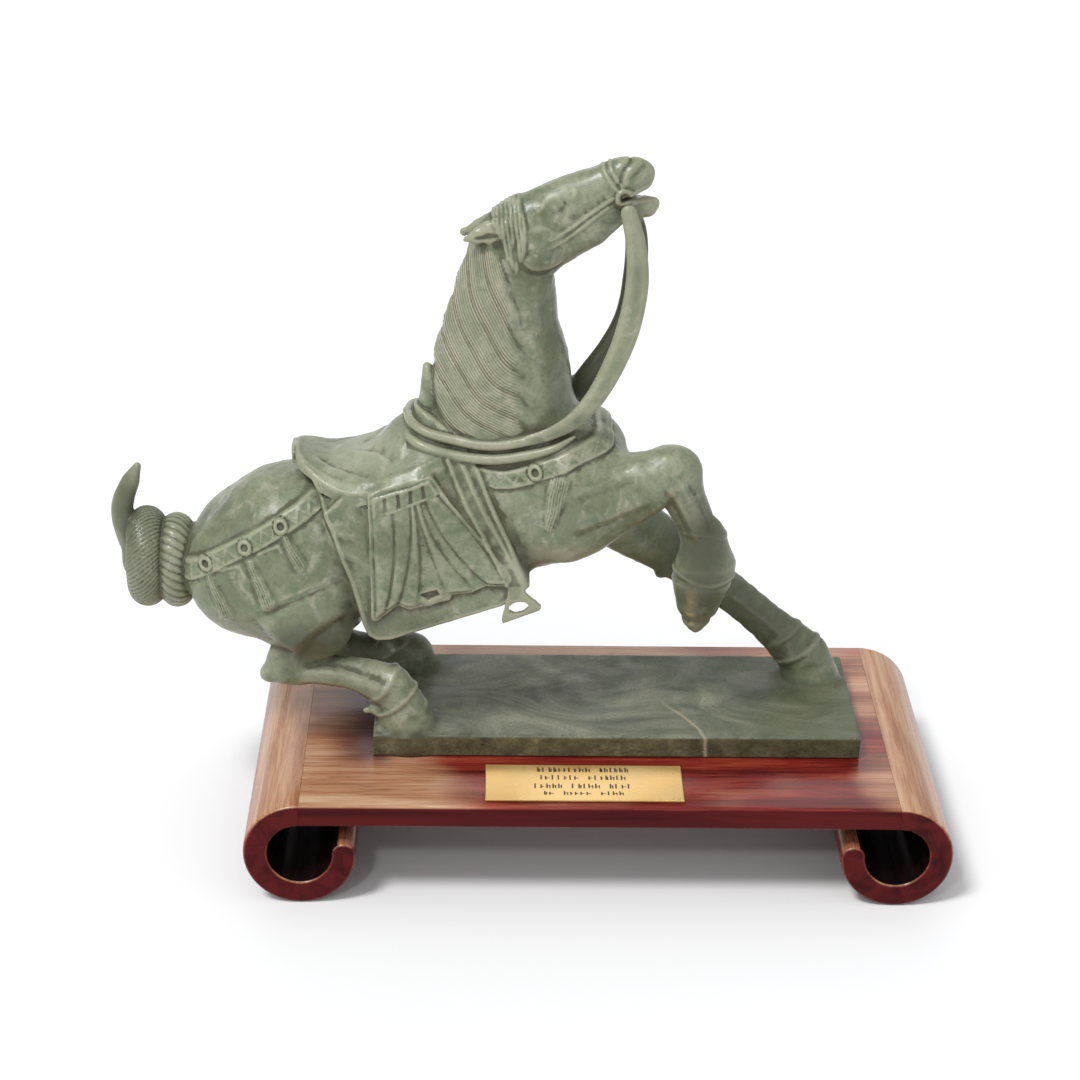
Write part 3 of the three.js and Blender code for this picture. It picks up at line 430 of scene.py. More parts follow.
MANE = [[-56, 250], [-50, 244], [-47, 226], [-45, 207], [-43, 187], [-42, 167], [-44, 157], [-60, 154],
        [-80, 158], [-85, 176], [-90, 215], [-80, 252]]
FORELOCK = [[-57, 266], [-50, 271], [-43, 272], [-40, 262], [-40, 250], [-44, 238], [-49, 246], [-52, 255]]
LOCK = 17.0
STRANDS = 8


def lock_phase(x, z):
    crest = -64 - (248 - z) * 0.34
    lock = z + (x - crest) * (0.8 + (z - 170) * 0.017) + 1.5 * np.sin(x / 9 + z / 23) + 1.1 * np.sin(x / 6 - z / 9)
    return lock / LOCK


def combed(phase):
    """How deep the fine strands are across a lock: clear on one side of it and faded on the other."""
    return np.clip(0.7 + 0.55 * np.sin(2 * math.pi * phase + 1), 0.25, 1)


def mane(x, z):
    phase = lock_phase(x, z)
    turn = np.abs(np.sin(math.pi * phase)) ** 0.6
    strand = 0.5 + 0.5 * np.cos(2 * math.pi * STRANDS * phase)
    edge = outline(MANE, x, z) + 0.9 * np.cos(phase * 2 * math.pi)
    height = rise(edge, 1, 9) * (0.9 + 1.5 * turn + 0.7 * strand * combed(phase))
    _, along, across = path([[-50, 270], [-46, 240]], x, z)
    comb = 0.5 + 0.5 * np.cos(across * 2 * math.pi / 2.1 + 0.5 * np.sin(along / 6))
    return height + rise(outline(FORELOCK, x, z), 1, 1.6) * (1.0 + 0.6 * comb)


def face(x, z):
    height = np.zeros(np.broadcast(x, z).shape, np.float32)
    fade = np.clip((x + 31) / 8, 0, 1)
    cheek_top = drawn([[-28.5, 254.5], [-19, 260], [-9.5, 267], [1, 274.5]], x, z, 0.9, 0.8)
    cheek_low = drawn([[-28.5, 250.5], [-18.8, 256], [-9.5, 263.3], [-1, 270]], x, z, 0.9, 0.8)
    height += fade * (cheek_top + cheek_low)
    for line in ([[-5, 293], [-2.5, 286], [1, 281], [4.5, 277.5]],
                 [[-1.5, 294], [0.5, 287], [3.5, 282.5], [6, 279]]):
        height += drawn(line, x, z, 0.8, 0.8)
    ring_x, ring_z = 6.8, 274.5
    ring = np.hypot(x - ring_x, z - ring_z)
    height += ridge(ring - 3.4, 1.7, 1.0) - rise(ring - 2, 1.2, 1)
    eye_x, eye_z = -26, 270.5
    eye = np.hypot((x - eye_x) / 1.6, z - eye_z - (x - eye_x) * 0.4)
    height += rise(eye - 1.7, 0.8, 3) - rise(eye - 4.6, 1.2, 8)
    height += drawn([[-34, 268.5], [-28, 273.8], [-21, 275]], x, z, 0.9, 2.2)
    height += drawn([[-21, 264], [-19.5, 270], [-17, 277]], x, z, 0.8, 1.9)
    height += drawn([[-17, 266], [-8, 272.5], [-1, 279]], x, z, -0.6, 2.4)
    nostril_x, nostril_z = 12.5, 285.5
    nostril = np.hypot((x - nostril_x) / 1.5, z - nostril_z - (x - nostril_x) * 0.5)
    height -= rise(nostril - 2, 0.9, 4)
    height += drawn([[7, 281], [8.5, 286.5], [13.5, 290]], x, z, 0.6, 1.5)
    height += drawn([[4, 281], [5.5, 286], [9.5, 291]], x, z, -0.9, 1.2)
    jowl_x, jowl_z = -32, 250
    jowl = np.hypot(x - jowl_x, z - jowl_z)
    rear = rise(-(x * -0.5 - z * 0.86 + 196), 1, 14)
    height += rise(jowl - 12, 1.0, 4) + ridge(jowl - 13, -1.0, 1.0) * rear
    for bump in ([-35, 247], [-30, 243], [-37, 252]):
        height += ridge(np.hypot(x - bump[0], z - bump[1]), 0.6, 1.3)
    mouth = outline([[6, 273.3], [14, 275.3], [30, 280.5], [30, 275.6], [14, 272.8]], x, z)
    return height - rise(mouth, 11, 1.2)


CREASES = [
    ([[-8, 155], [-18, 138], [-22, 120], [-14, 102]], -0.8, 3.5),
    ([[-51, 128], [-44, 118], [-39, 100], [-34, 88]], 0.7, 2.5),
    ([[-20, 129], [2, 137], [24, 144]], 1.1, 2.2),
    ([[-18, 111], [4, 120], [26, 130]], 1.1, 2.0),
    ([[28, 140], [38, 122], [47, 102]], 1.4, 1.6),
    ([[36, 144], [46, 124], [54, 104]], -1.1, 1.6),
    ([[8, 139], [22, 145], [34, 148]], -0.6, 2.0),
    ([[-174, 68], [-163, 52], [-148, 44]], 1.6, 2.5),
    ([[-155, 38], [-141, 59], [-123, 68]], 2.2, 2.4),
    ([[-180, 122], [-162, 128], [-146, 133]], -0.4, 2.0),
    ([[-156, 35], [-130, 34], [-104, 26]], -1.7, 1.6),
    ([[-154, 27], [-130, 25], [-108, 16]], 1.4, 1.5),
    ([[66, 53], [80, 43], [92, 32], [100, 22]], 0.9, 1.6),
    ([[72, 49], [84, 40], [97, 29]], -0.5, 2.2),
    ([[-41, 228], [-38, 205], [-33, 178], [-30, 166]], 0.4, 2.4),
    ([[-35, 230], [-31, 205], [-26, 180], [-22, 168]], -0.4, 2.4),
    ([[-30, 228], [-26, 206], [-20, 184], [-16, 172]], 0.35, 2.2),
]
CUFFS = [([[41, 108.5], [50, 109.5], [62, 106]], 0.7, 1.2), ([[35, 88], [44, 85], [55, 82.5], [68, 84.5]], 1.1, 1.3),
         ([[-116, 17], [-108, 25], [-101, 36]], 1.0, 1.4), ([[-111, 10], [-102, 16], [-92, 24]], 1.0, 1.3),
         ([[97, 12], [107, 17], [122, 27]], 1.5, 1.5), ([[92, 22], [101, 28], [110, 34]], 0.8, 1.4)]


def muscles(x, z):
    height = np.zeros(np.broadcast(x, z).shape, np.float32)
    for points, amount, width in CREASES:
        height += fold(curve(points), x, z, amount, width)
    for points, amount, width in CUFFS:
        distance, along, _ = path(curve(points), x, z)
        height += ridge(distance + 0.12 * np.sin(along * 1.1), amount, width)
    return height


def rope_ring(field, centre, ring_radius, rope_radius, flat, grooves, depth, twist):
    """One turn of the bound tail: a filled ring round the X axis with slanting grooves."""
    reach = ring_radius + rope_radius + depth + 4
    slices, x, y, z = field.window(np.array(centre) - [rope_radius + 5, reach, reach],
                                   np.array(centre) + [rope_radius + 5, reach, reach])
    sideways = (y - centre[1]) / flat
    out = np.hypot(sideways, z - centre[2]) - ring_radius
    turn = np.arctan2(sideways, z - centre[2])
    lean = np.arctan2(x - centre[0], out)
    wave = np.abs(np.cos(0.5 * (grooves * turn + twist * lean + 0.9 * np.sin(5 * turn))))
    tube = np.hypot(out, x - centre[0]) - rope_radius - depth * (1.6 * np.sqrt(wave) - 0.9)
    core = np.maximum(np.abs(x - centre[0]) - 0.7 * rope_radius, out)
    field.join(slices, np.minimum(tube, core), 1)


def add_tail(field):
    field.add_chain([[-196, 0, 78, 20], [-228, 0, 78, 15]], 3)
    rope_ring(field, [-215, 0, 77], 16.5, 8, 0.85, 32, 0.6, 5)
    rope_ring(field, [-230, 0, 79], 17, 9, 0.85, 60, 0.7, -17)
    hook = [[-234, 0, 82, 8], [-239, 0, 92, 6.6], [-241.6, 0, 104, 5.7], [-240.5, 0, 111, 5.4],
            [-236.7, 0, 120.5, 4.6], [-232.8, 0, 129, 1.9]]
    field.add_chain(curve(hook), 2, 0.8)


def add_reins(field):
    near = [[9, -12, 268, 4], [12.5, -13, 254, 4.8], [14, -14, 234, 5.6], [10, -16, 210, 5.8], [2, -20, 190, 5.4],
            [-7, -25, 176, 4.8], [-17, -28, 166.5, 4], [-28, -29, 160.5, 3.2], [-37, -29, 157.5, 2.7]]
    field.add_chain(curve(near), 1.5, 0.5)
    far = [[10, 10, 264, 5], [14, 10, 250, 5.5], [14, 11, 226, 6], [10.5, 12, 206, 6], [3, 13, 190, 6],
           [-7, 14, 175, 6], [-18, 16, 158, 6]]
    field.add_chain(curve(far), 1.5, 0.5)
    upper = [[-97, 0, 160, 2.6], [-94.5, 12, 159, 2.6], [-88, 19, 157, 2.6], [-75, 23, 155, 2.6],
             [-56, 28, 154, 2.6], [-37, 28, 157, 2.7], [-24, 27, 161, 2.9], [-13, 26, 167, 3.2]]
    lower = [[-98, 0, 154, 2.6], [-95, 18, 153, 2.6], [-88, 24, 151, 2.6], [-75, 26, 148, 2.6],
             [-56, 29, 147, 2.6], [-37, 30, 150, 2.5], [-24, 30, 154, 2.0], [-15, 28, 159, 0.8]]
    for side in (-1, 1):
        for cord in (upper, lower):
            field.add_chain(curve([[x, side * y, z, radius] for x, y, z, radius in cord]), 0.8)


STIRRUP = [[-45.8, 84], [-38.8, 84], [-38.5, 80.5], [-30.6, 73.4], [-31.3, 72.1], [-48.7, 65],
           [-48.9, 66.3], [-46.2, 79]]


def add_stirrups(field):
    slices, x, y, z = field.window([-60, -48, 56], [-22, 48, 94])
    hole_x, hole_z, hole_half, plate_y, half_thick = -41.3, 73.1, 3.2, 42.3, 1.6
    away = x - hole_x
    hole = hole_half - np.hypot(away / 1.55, z - hole_z - away * 0.15)
    shape = np.maximum(outline(STIRRUP, x, z) - 0.6, hole)
    field.join(slices, np.maximum(shape, np.abs(np.abs(y) - plate_y) - half_thick), 0.8)


SLAB_MIDDLE = np.array([10, 0.5, SLAB_LOW / 2])
SLAB_HALF = np.array([124.5, 44.5, -SLAB_LOW / 2])
SLAB_ARRIS = 0.9


def add_slab(field):
    slices, x, y, z = field.window([-120, -50, -14], [140, 50, 8])
    rough = 0.28 * ripple(x, y, z, 5, 1) + 0.2 * ripple(x, y, z, 2.2, 2)
    beyond = [np.abs(g - c) - h for g, c, h in zip((x, y), SLAB_MIDDLE, SLAB_HALF)]
    side = np.clip((np.maximum(*beyond) + 2.5) / 2, 0, 1)
    parts = [np.abs(g - c) - (h - SLAB_ARRIS) for g, c, h in zip((x, y, z), SLAB_MIDDLE, SLAB_HALF)]
    outside = np.sqrt(sum(np.maximum(p, 0) ** 2 for p in parts))
    inside = np.minimum(np.maximum(np.maximum(parts[0], parts[1]), parts[2]), 0)
    rough = np.abs(rough) * side + 0.03 * ripple(x, y, z, 16, 3)
    block = outside + inside - SLAB_ARRIS + np.where(z < SLAB_LOW + 1, 0, rough)
    field.join(slices, block, 2.5)
    field.cut_below(200, SLAB_LOW, SLAB_LOW + 1)


def carve_horse():
    field = Field([-254, -HALF_BREADTH, -13.5], [144, HALF_BREADTH, 298], STEP)
    add_trunk(field)
    add_head(field)
    add_legs(field)
    add_saddle(field)
    field.carve([-160, 45], [-28, 190], saddlery)
    field.carve([-118, 62], [-42, 134], skirt)
    field.carve([-216, 50], [10, 162], harness)
    field.carve([-100, 150], [-36, 280], mane)
    field.carve([-60, 225], [32, 298], face)
    field.carve([-190, 0], [140, 240], lambda x, z: muscles(x, z) * ((x < 28) | (z < 60)))
    field.carve([20, 50], [140, 240], lambda x, z: muscles(x, z) * ((x >= 28) & (z >= 60)), -1)
    x, y, z = field.axes[0][:, None, None], field.axes[1][None, :, None], field.axes[2][None, None, :]
    layers = 64
    for n in range(0, field.count[0], layers):
        part = slice(n, n + layers)
        uneven = 0.16 * ripple(x[part], y, z, 16, 4) + 0.07 * ripple(x[part], y, z, 6, 5)
        field.values[part] += uneven.astype(np.float32)
    add_tail(field)
    add_reins(field)
    add_stirrups(field)
    slices, x, y, z = field.window([55, 0, 0], [140, 48, 60])
    field.values[slices] += (0.3 * ripple(x, y, z, 15, 6) * np.clip((x - 60) / 20, 0, 1)).astype(np.float32)
    field.cut_below(-114, 0.5, 0)
    add_slab(field)
    return field


# ---- from the distances to a mesh

def surface_of(field):
    """Vertices and four-cornered faces where the field is zero."""
    values, low, step = field.values, field.low, field.step
    inside = values < 0
    count = np.zeros(np.array(inside.shape) - 1, np.uint8)
    for i, j, k in CELL_CORNERS:
        count += inside[i:i + count.shape[0], j:j + count.shape[1], k:k + count.shape[2]]
    cells = np.flatnonzero((count > 0) & (count < 8))
    shape = count.shape
    del count
    ci, cj, ck = np.unravel_index(cells, shape)
    corner = {(i, j, k): values[ci + i, cj + j, ck + k] for i, j, k in CELL_CORNERS}
    total = np.zeros((len(cells), 3), np.float32)
    crossings = np.zeros(len(cells), np.float32)
    for axis in range(3):
        for u in (0, 1):
            for v in (0, 1):
                start = [u, v]
                start.insert(axis, 0)
                end = list(start)
                end[axis] = 1
                a, b = corner[tuple(start)], corner[tuple(end)]
                cross = (a < 0) != (b < 0)
                t = np.where(cross, a / np.where(cross, a - b, 1), 0)
                for n in range(3):
                    total[:, n] += np.where(cross, t if n == axis else start[n], 0)
                crossings += cross
    spots = total / crossings[:, None] + np.stack([ci, cj, ck], 1)
    spots = (spots * step + low).astype(np.float32)
    number = np.full(shape, -1, np.int32)
    number.ravel()[cells] = np.arange(len(cells))
    faces = []
    for axis in range(3):
        others = [a for a in range(3) if a != axis]
        lower = [slice(None)] * 3
        upper = [slice(None)] * 3
        lower[axis], upper[axis] = slice(0, -1), slice(1, None)
        for a in others:
            lower[a] = upper[a] = slice(1, -1)
        first, second = inside[tuple(lower)], inside[tuple(upper)]
        for leaving in (True, False):
            at = np.nonzero(first & ~second if leaving else ~first & second)
            at = [g + (0 if n == axis else 1) for n, g in enumerate(at)]
            quad = []
            for du, dv in ((0, 0), (1, 0), (1, 1), (0, 1)):
                spot = list(at)
                spot[others[0]] = at[others[0]] - du
                spot[others[1]] = at[others[1]] - dv
                quad.append(number[tuple(spot)])
            quad = np.stack(quad, 1)
            if leaving == (axis == 1):
                quad = quad[:, ::-1]
            faces.append(quad)
    return spots, np.concatenate(faces)


def blurred(values, radius):
    """The mean over a box of cells, by running sums along each axis."""
    result = values
    for axis in range(3):
        padded = np.concatenate([np.repeat(np.take(result, [0], axis), radius + 1, axis), result,
                                 np.repeat(np.take(result, [-1], axis), radius, axis)], axis)
        sums = np.cumsum(padded, axis, dtype=np.float32)
        size = result.shape[axis]
        upper = np.take(sums, range(2 * radius + 1, 2 * radius + 1 + size), axis)
        lower = np.take(sums, range(0, size), axis)
        result = (upper - lower) / (2 * radius + 1)
    return result


def sample(grid, field, points):
    """The grid's values at the points, blended between its cells."""
    place = (points - field.low) / field.step
    base = np.clip(np.floor(place).astype(int), 0, np.array(grid.shape) - 2)
    part = (place - base).astype(np.float32)
    total = 0
    for corner in CELL_CORNERS:
        weight = 1
        for n, bit in enumerate(corner):
            weight = weight * (part[:, n] if bit else 1 - part[:, n])
        total = total + weight * grid[tuple(base[:, n] + corner[n] for n in range(3))]
    return total


def in_scene(name, data):
    piece = bpy.data.objects.new(name, data)
    bpy.context.scene.collection.objects.link(piece)
    return piece


def piece_of(name, mesh):
    """The bmesh as an object; the bmesh is used up."""
    data = bpy.data.meshes.new(name)
    mesh.to_mesh(data)
    mesh.free()
    return in_scene(name, data)


def mesh_piece(name, spots, faces):
    mesh = bpy.data.meshes.new(name)
    size = faces.shape[1]
    mesh.vertices.add(len(spots))
    mesh.vertices.foreach_set("co", np.ascontiguousarray(spots, np.float32).ravel())
    mesh.loops.add(faces.size)
    mesh.loops.foreach_set("vertex_index", np.ascontiguousarray(faces, np.int32).ravel())
    mesh.polygons.add(len(faces))
    mesh.polygons.foreach_set("loop_start", np.arange(0, faces.size, size, dtype=np.int32))
    mesh.update(calc_edges=True)
    return in_scene(name, mesh)


def settled(piece):
    """Applies the piece's modifiers."""
    depsgraph = bpy.context.evaluated_depsgraph_get()
    final = bpy.data.meshes.new_from_object(piece.evaluated_get(depsgraph))
    piece.modifiers.clear()
    piece.data = final


def smooth(piece):
    piece.data.polygons.foreach_set("use_smooth", np.ones(len(piece.data.polygons), bool))
    return piece


# Where the stone is darker, or paler below 0, partly its own tone and partly painted shade (under the jaw) and
# painted light (on the seat top): middle in the side view, reach along x and z, and how much
TONE_AND_SHADE_PATCHES = [(-28, 200, 13, 38, 0.3), (-40, 236, 15, 8, 0.5), (-146, 50, 24, 15, 1.0), (50, 104, 16, 26, 1.0),
           (50, 68, 16, 16, 0.6), (95, 35, 42, 30, 0.4), (-124, 22, 30, 15, 0.45), (-90, 62, 40, 8, 0.5),
           (-228, 84, 20, 40, 0.45), (-240, 112, 9, 25, 0.5), (-14, 160, 20, 14, 0.3), (-92, 104, 24, 26, 0.4),
           (-56, 118, 14, 30, 0.35), (-128, 84, 12, 20, 0.3), (-118, 145, 34, 14, -0.6), (-20, 94, 32, 11, -1.0),
           (-10, 125, 24, 14, 0.25), (-66, 205, 16, 50, -0.3), (-8, 282, 20, 14, -0.3)]


def add_layer(piece, name, amount):
    layer = piece.data.attributes.new(name, "FLOAT", "POINT")
    layer.data.foreach_set("value", amount.astype(np.float32))


def horse_piece():
    field = carve_horse()
    spots, faces = surface_of(field)
    piece = mesh_piece("carved_horse", spots, faces)
    fewer = piece.modifiers.new("fewer", "DECIMATE")
    fewer.ratio = FINE_TRIANGLES / (2 * len(faces))
    settled(piece)
    points = np.zeros(len(piece.data.vertices) * 3, np.float32)
    piece.data.vertices.foreach_get("co", points)
    points = points.reshape(-1, 3)
    near = np.clip(field.values, -8, 8)
    for name, radius in (("groove", 3), ("hollow", 9)):  # radius in cells
        grid = blurred(near, radius)
        amount = -(sample(grid, field, points) - sample(near, field, points))
        add_layer(piece, name, amount / (radius * STEP))
    x, y, z = points.T
    # The dark layer: the stone's own tone with painted shade and painted light from the patches
    shade = sum(amount * np.exp(-((x - cx) / rx) ** 2 - ((z - cz) / rz) ** 2) for cx, cz, rx, rz, amount in TONE_AND_SHADE_PATCHES)
    # Painted shade on the far side's lower parts
    shade = shade + 0.35 * np.clip((y - 4) / 8, 0, 1) * np.clip((95 - z) / 20, 0, 1)
    # Painted shade on the far rein, behind the near one
    shade = shade + np.clip((y - 4) / 4, 0, 1) * rise(-14 - x, 1, 6) * rise(165 - z, 1, 8) * rise(z - 258, 1, 8)
    phase = lock_phase(x, z)
    hair = rise(outline(MANE, x, z) + 2, 1, 5) * rise(160 - z, 1, 5) * (0.3 + 0.7 * combed(phase))
    for name, amount in (("lock", phase), ("hair", hair), ("dark", np.clip(shade, -1, 1))):
        add_layer(piece, name, amount)
    placed = points * MM + np.array([STAND_X, HORSE_Y, SLAB_TOP])
    piece.data.vertices.foreach_set("co", placed.astype(np.float32).ravel())
    piece.data.update()
    return smooth(piece)


# ---- the stand

SCROLL_RADIUS = 28.15 * MM
WALL = board_high.z - board_low.z
ARRIS = 2.4 * MM
SCROLL_X = 149.35 * MM


def scroll_section(inset, turn_step=4):
    """The C-shaped section of a rolled end about its centre, made thinner all round by inset."""
    outer, inner = SCROLL_RADIUS - inset, SCROLL_RADIUS - WALL + inset
    turns = [math.radians(90 - turn) for turn in range(0, 271, turn_step)] + [math.radians(-180)]
    points = [(math.cos(a) * outer, math.sin(a) * outer) for a in turns]
    middle, round_radius = (outer + inner) / 2, (outer - inner) / 2
    for turn in range(20, 180, 20):
        a = math.radians(180 - turn)
        points.append((-middle + math.cos(a) * round_radius, math.sin(a) * round_radius))
    return points + [(math.cos(a) * inner, math.sin(a) * inner) for a in reversed(turns)]


def board_section(inset):
    half = (board_high.x - board_low.x) / 2
    columns = [half * (n / 12 - 1) for n in range(25)]
    top = [(x, WALL / 2 - inset) for x in columns]
    return top + [(x, inset - WALL / 2) for x in reversed(columns)]


def lofted(name, section, centre, mirror=1, steps=6):
    """A section carried along Y with its front and back arrises rounded."""
    depth_low, depth_high = board_low.y, board_high.y
    stations = []
    for n in range(steps + 1):
        angle = math.pi / 2 * (1 - n / steps)
        stations.append((depth_low + ARRIS * (1 - math.sin(angle)), ARRIS * (1 - math.cos(angle))))
    stations += [(depth_low + (depth_high - depth_low) * n / 8, 0) for n in range(1, 8)]
    stations += [(depth_high + depth_low - y, inset) for y, inset in reversed(stations[:steps + 1])]
    mesh = bmesh.new()
    rings = []
    for y, inset in stations:
        spots = [Vector((centre[0] + mirror * x, y, centre[1] + z)) for x, z in section(inset)]
        rings.append([mesh.verts.new(spot) for spot in spots])
    for one, two in zip(rings, rings[1:]):
        for n in range(len(one)):
            after = (n + 1) % len(one)
            mesh.faces.new((one[n], one[after], two[after], two[n]))
    mesh.faces.new(rings[0])
    mesh.faces.new(rings[-1])
    bmesh.ops.recalc_face_normals(mesh, faces=mesh.faces)
    bmesh.ops.triangulate(mesh, faces=[f for f in mesh.faces if len(f.verts) > 4], ngon_method="EAR_CLIP")
    piece = smooth(piece_of(name, mesh))
    piece.data.set_sharp_from_angle(angle=math.radians(35))
    return piece


def block(mesh, low, high):
    v = [mesh.verts.new((x, y, z)) for z in (low[2], high[2]) for y in (low[1], high[1]) for x in (low[0], high[0])]
    # Counter-clockwise seen from outside
    for a, b, c, d in ((0, 2, 3, 1), (4, 5, 7, 6), (0, 1, 5, 4), (1, 3, 7, 5), (3, 2, 6, 7), (2, 0, 4, 6)):
        mesh.faces.new((v[a], v[b], v[c], v[d]))


def plaque_strokes():
    """Four rows of short dark strokes, in groups like words, that aren't letters."""
    low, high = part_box("brass_plaque")
    centre_x, top = (low.x + high.x) / 2, high.z
    random = np.random.default_rng(12)
    mesh = bmesh.new()
    word_gap, bar = 4.0, 0.8
    # Each row: its distance from the front edge, its height, and how many strokes each word has
    rows = [(27.0, 4.2, [10, 6]), (19.5, 4.2, [7, 7]), (11.2, 4.4, [5, 5, 4]), (4.8, 3.6, [2, 5, 4])]
    for from_front, height, words in rows:
        widths = [random.uniform(2.2, 3.4, count) for count in words]
        total = sum(w.sum() for w in widths) + word_gap * (len(words) - 1)
        x = -total / 2
        for word in widths:
            for width in word:
                kind = random.integers(0, 3)
                base = low.y + from_front * MM
                tall = height * MM * (1 if kind else 0.8)
                bars = [(x, x + bar, 0, tall)]
                if kind != 1:
                    bars.append((x + bar, x + width - 0.9, tall * 0.42, tall * 0.42 + 0.5 * MM))
                if kind == 2:
                    bars.append((x + width - 1.5, x + width - 0.9, 0, tall * 0.7))
                for left, right, down, up in bars:
                    block(mesh, (centre_x + left * MM, base + down, top - 0.2 * MM),
                          (centre_x + right * MM, base + up, top + 0.06 * MM))
                x += width
            x += word_gap
    return piece_of("plaque_strokes", mesh)


# ---- materials

class Paint:
    """A node material; its methods add one node each and give back its output."""

    def __init__(self, name):
        self.material = bpy.data.materials.new(name)
        self.material.use_nodes = True
        self.nodes = self.material.node_tree.nodes
        self.links = self.material.node_tree.links
        self.shader = self.nodes["Principled BSDF"]
        self.place = self.nodes.new("ShaderNodeTexCoord").outputs["Object"]
        self.x, self.y, self.z = self.split(self.place)
        geometry = self.nodes.new("ShaderNodeNewGeometry")
        _, self.facing_y, self.facing_z = self.split(geometry.outputs["Normal"])

    def split(self, vector):
        node = self.nodes.new("ShaderNodeSeparateXYZ")
        self.links.new(vector, node.inputs[0])
        return node.outputs

    def put(self, socket, value):
        if isinstance(value, bpy.types.NodeSocket):
            self.links.new(value, socket)
        elif isinstance(value, (tuple, list)) and len(value) == 3 and socket.type == "RGBA":
            socket.default_value = (*value, 1)
        else:
            socket.default_value = value

    def noise(self, size, stretch=(1, 1, 1), detail=4, rough=0.55, distortion=0.0):
        mapping = self.nodes.new("ShaderNodeMapping")
        self.links.new(self.place, mapping.inputs["Vector"])
        mapping.inputs["Scale"].default_value = [s / (size * MM) for s in stretch]
        node = self.nodes.new("ShaderNodeTexNoise")
        self.links.new(mapping.outputs[0], node.inputs["Vector"])
        node.inputs["Scale"].default_value = 1
        node.inputs["Detail"].default_value = detail
        node.inputs["Roughness"].default_value = rough
        node.inputs["Distortion"].default_value = distortion
        return node.outputs["Fac"]

    def value_of(self, name):
        node = self.nodes.new("ShaderNodeAttribute")
        node.attribute_name = name
        return node.outputs["Fac"]

    def between(self, value, low, high, to_low=0.0, to_high=1.0):
        node = self.nodes.new("ShaderNodeMapRange")
        node.interpolation_type = "SMOOTHSTEP"
        for name, amount in (("Value", value), ("From Min", low), ("From Max", high),
                             ("To Min", to_low), ("To Max", to_high)):
            self.put(node.inputs[name], amount)
        return node.outputs["Result"]

    def sum(self, one, two, operation="ADD", clamp=False):
        node = self.nodes.new("ShaderNodeMath")
        node.operation = operation
        node.use_clamp = clamp
        self.put(node.inputs[0], one)
        self.put(node.inputs[1], two)
        return node.outputs[0]

    def times(self, one, two, clamp=True):
        return self.sum(one, two, "MULTIPLY", clamp)

    def scaled(self, one, two):
        return self.times(one, two, clamp=False)

    def most(self, one, two):
        return self.sum(one, two, "MAXIMUM")

    def mix(self, factor, one, two):
        node = self.nodes.new("ShaderNodeMix")
        node.data_type = "RGBA"
        self.put(node.inputs["Factor"], factor)
        self.put(node.inputs[6], one)
        self.put(node.inputs[7], two)
        return node.outputs[2]

    def ramp(self, factor, stops):
        node = self.nodes.new("ShaderNodeValToRGB")
        elements = node.color_ramp.elements
        while len(elements) < len(stops):
            elements.new(0.5)
        for element, (at, colour) in zip(elements, stops):
            element.position = at
            element.color = (*colour, 1)
        self.links.new(factor, node.inputs[0])
        return node.outputs[0]

    def bump(self, height, strength, distance):
        node = self.nodes.new("ShaderNodeBump")
        node.inputs["Strength"].default_value = strength
        node.inputs["Distance"].default_value = distance * MM
        self.links.new(height, node.inputs["Height"])
        self.links.new(node.outputs[0], self.shader.inputs["Normal"])

    def finish(self, colour, roughness, coat_roughness=0.05):
        self.put(self.shader.inputs["Base Color"], colour)
        self.put(self.shader.inputs["Roughness"], roughness)
        self.shader.inputs["Coat Roughness"].default_value = coat_roughness
        return self.material


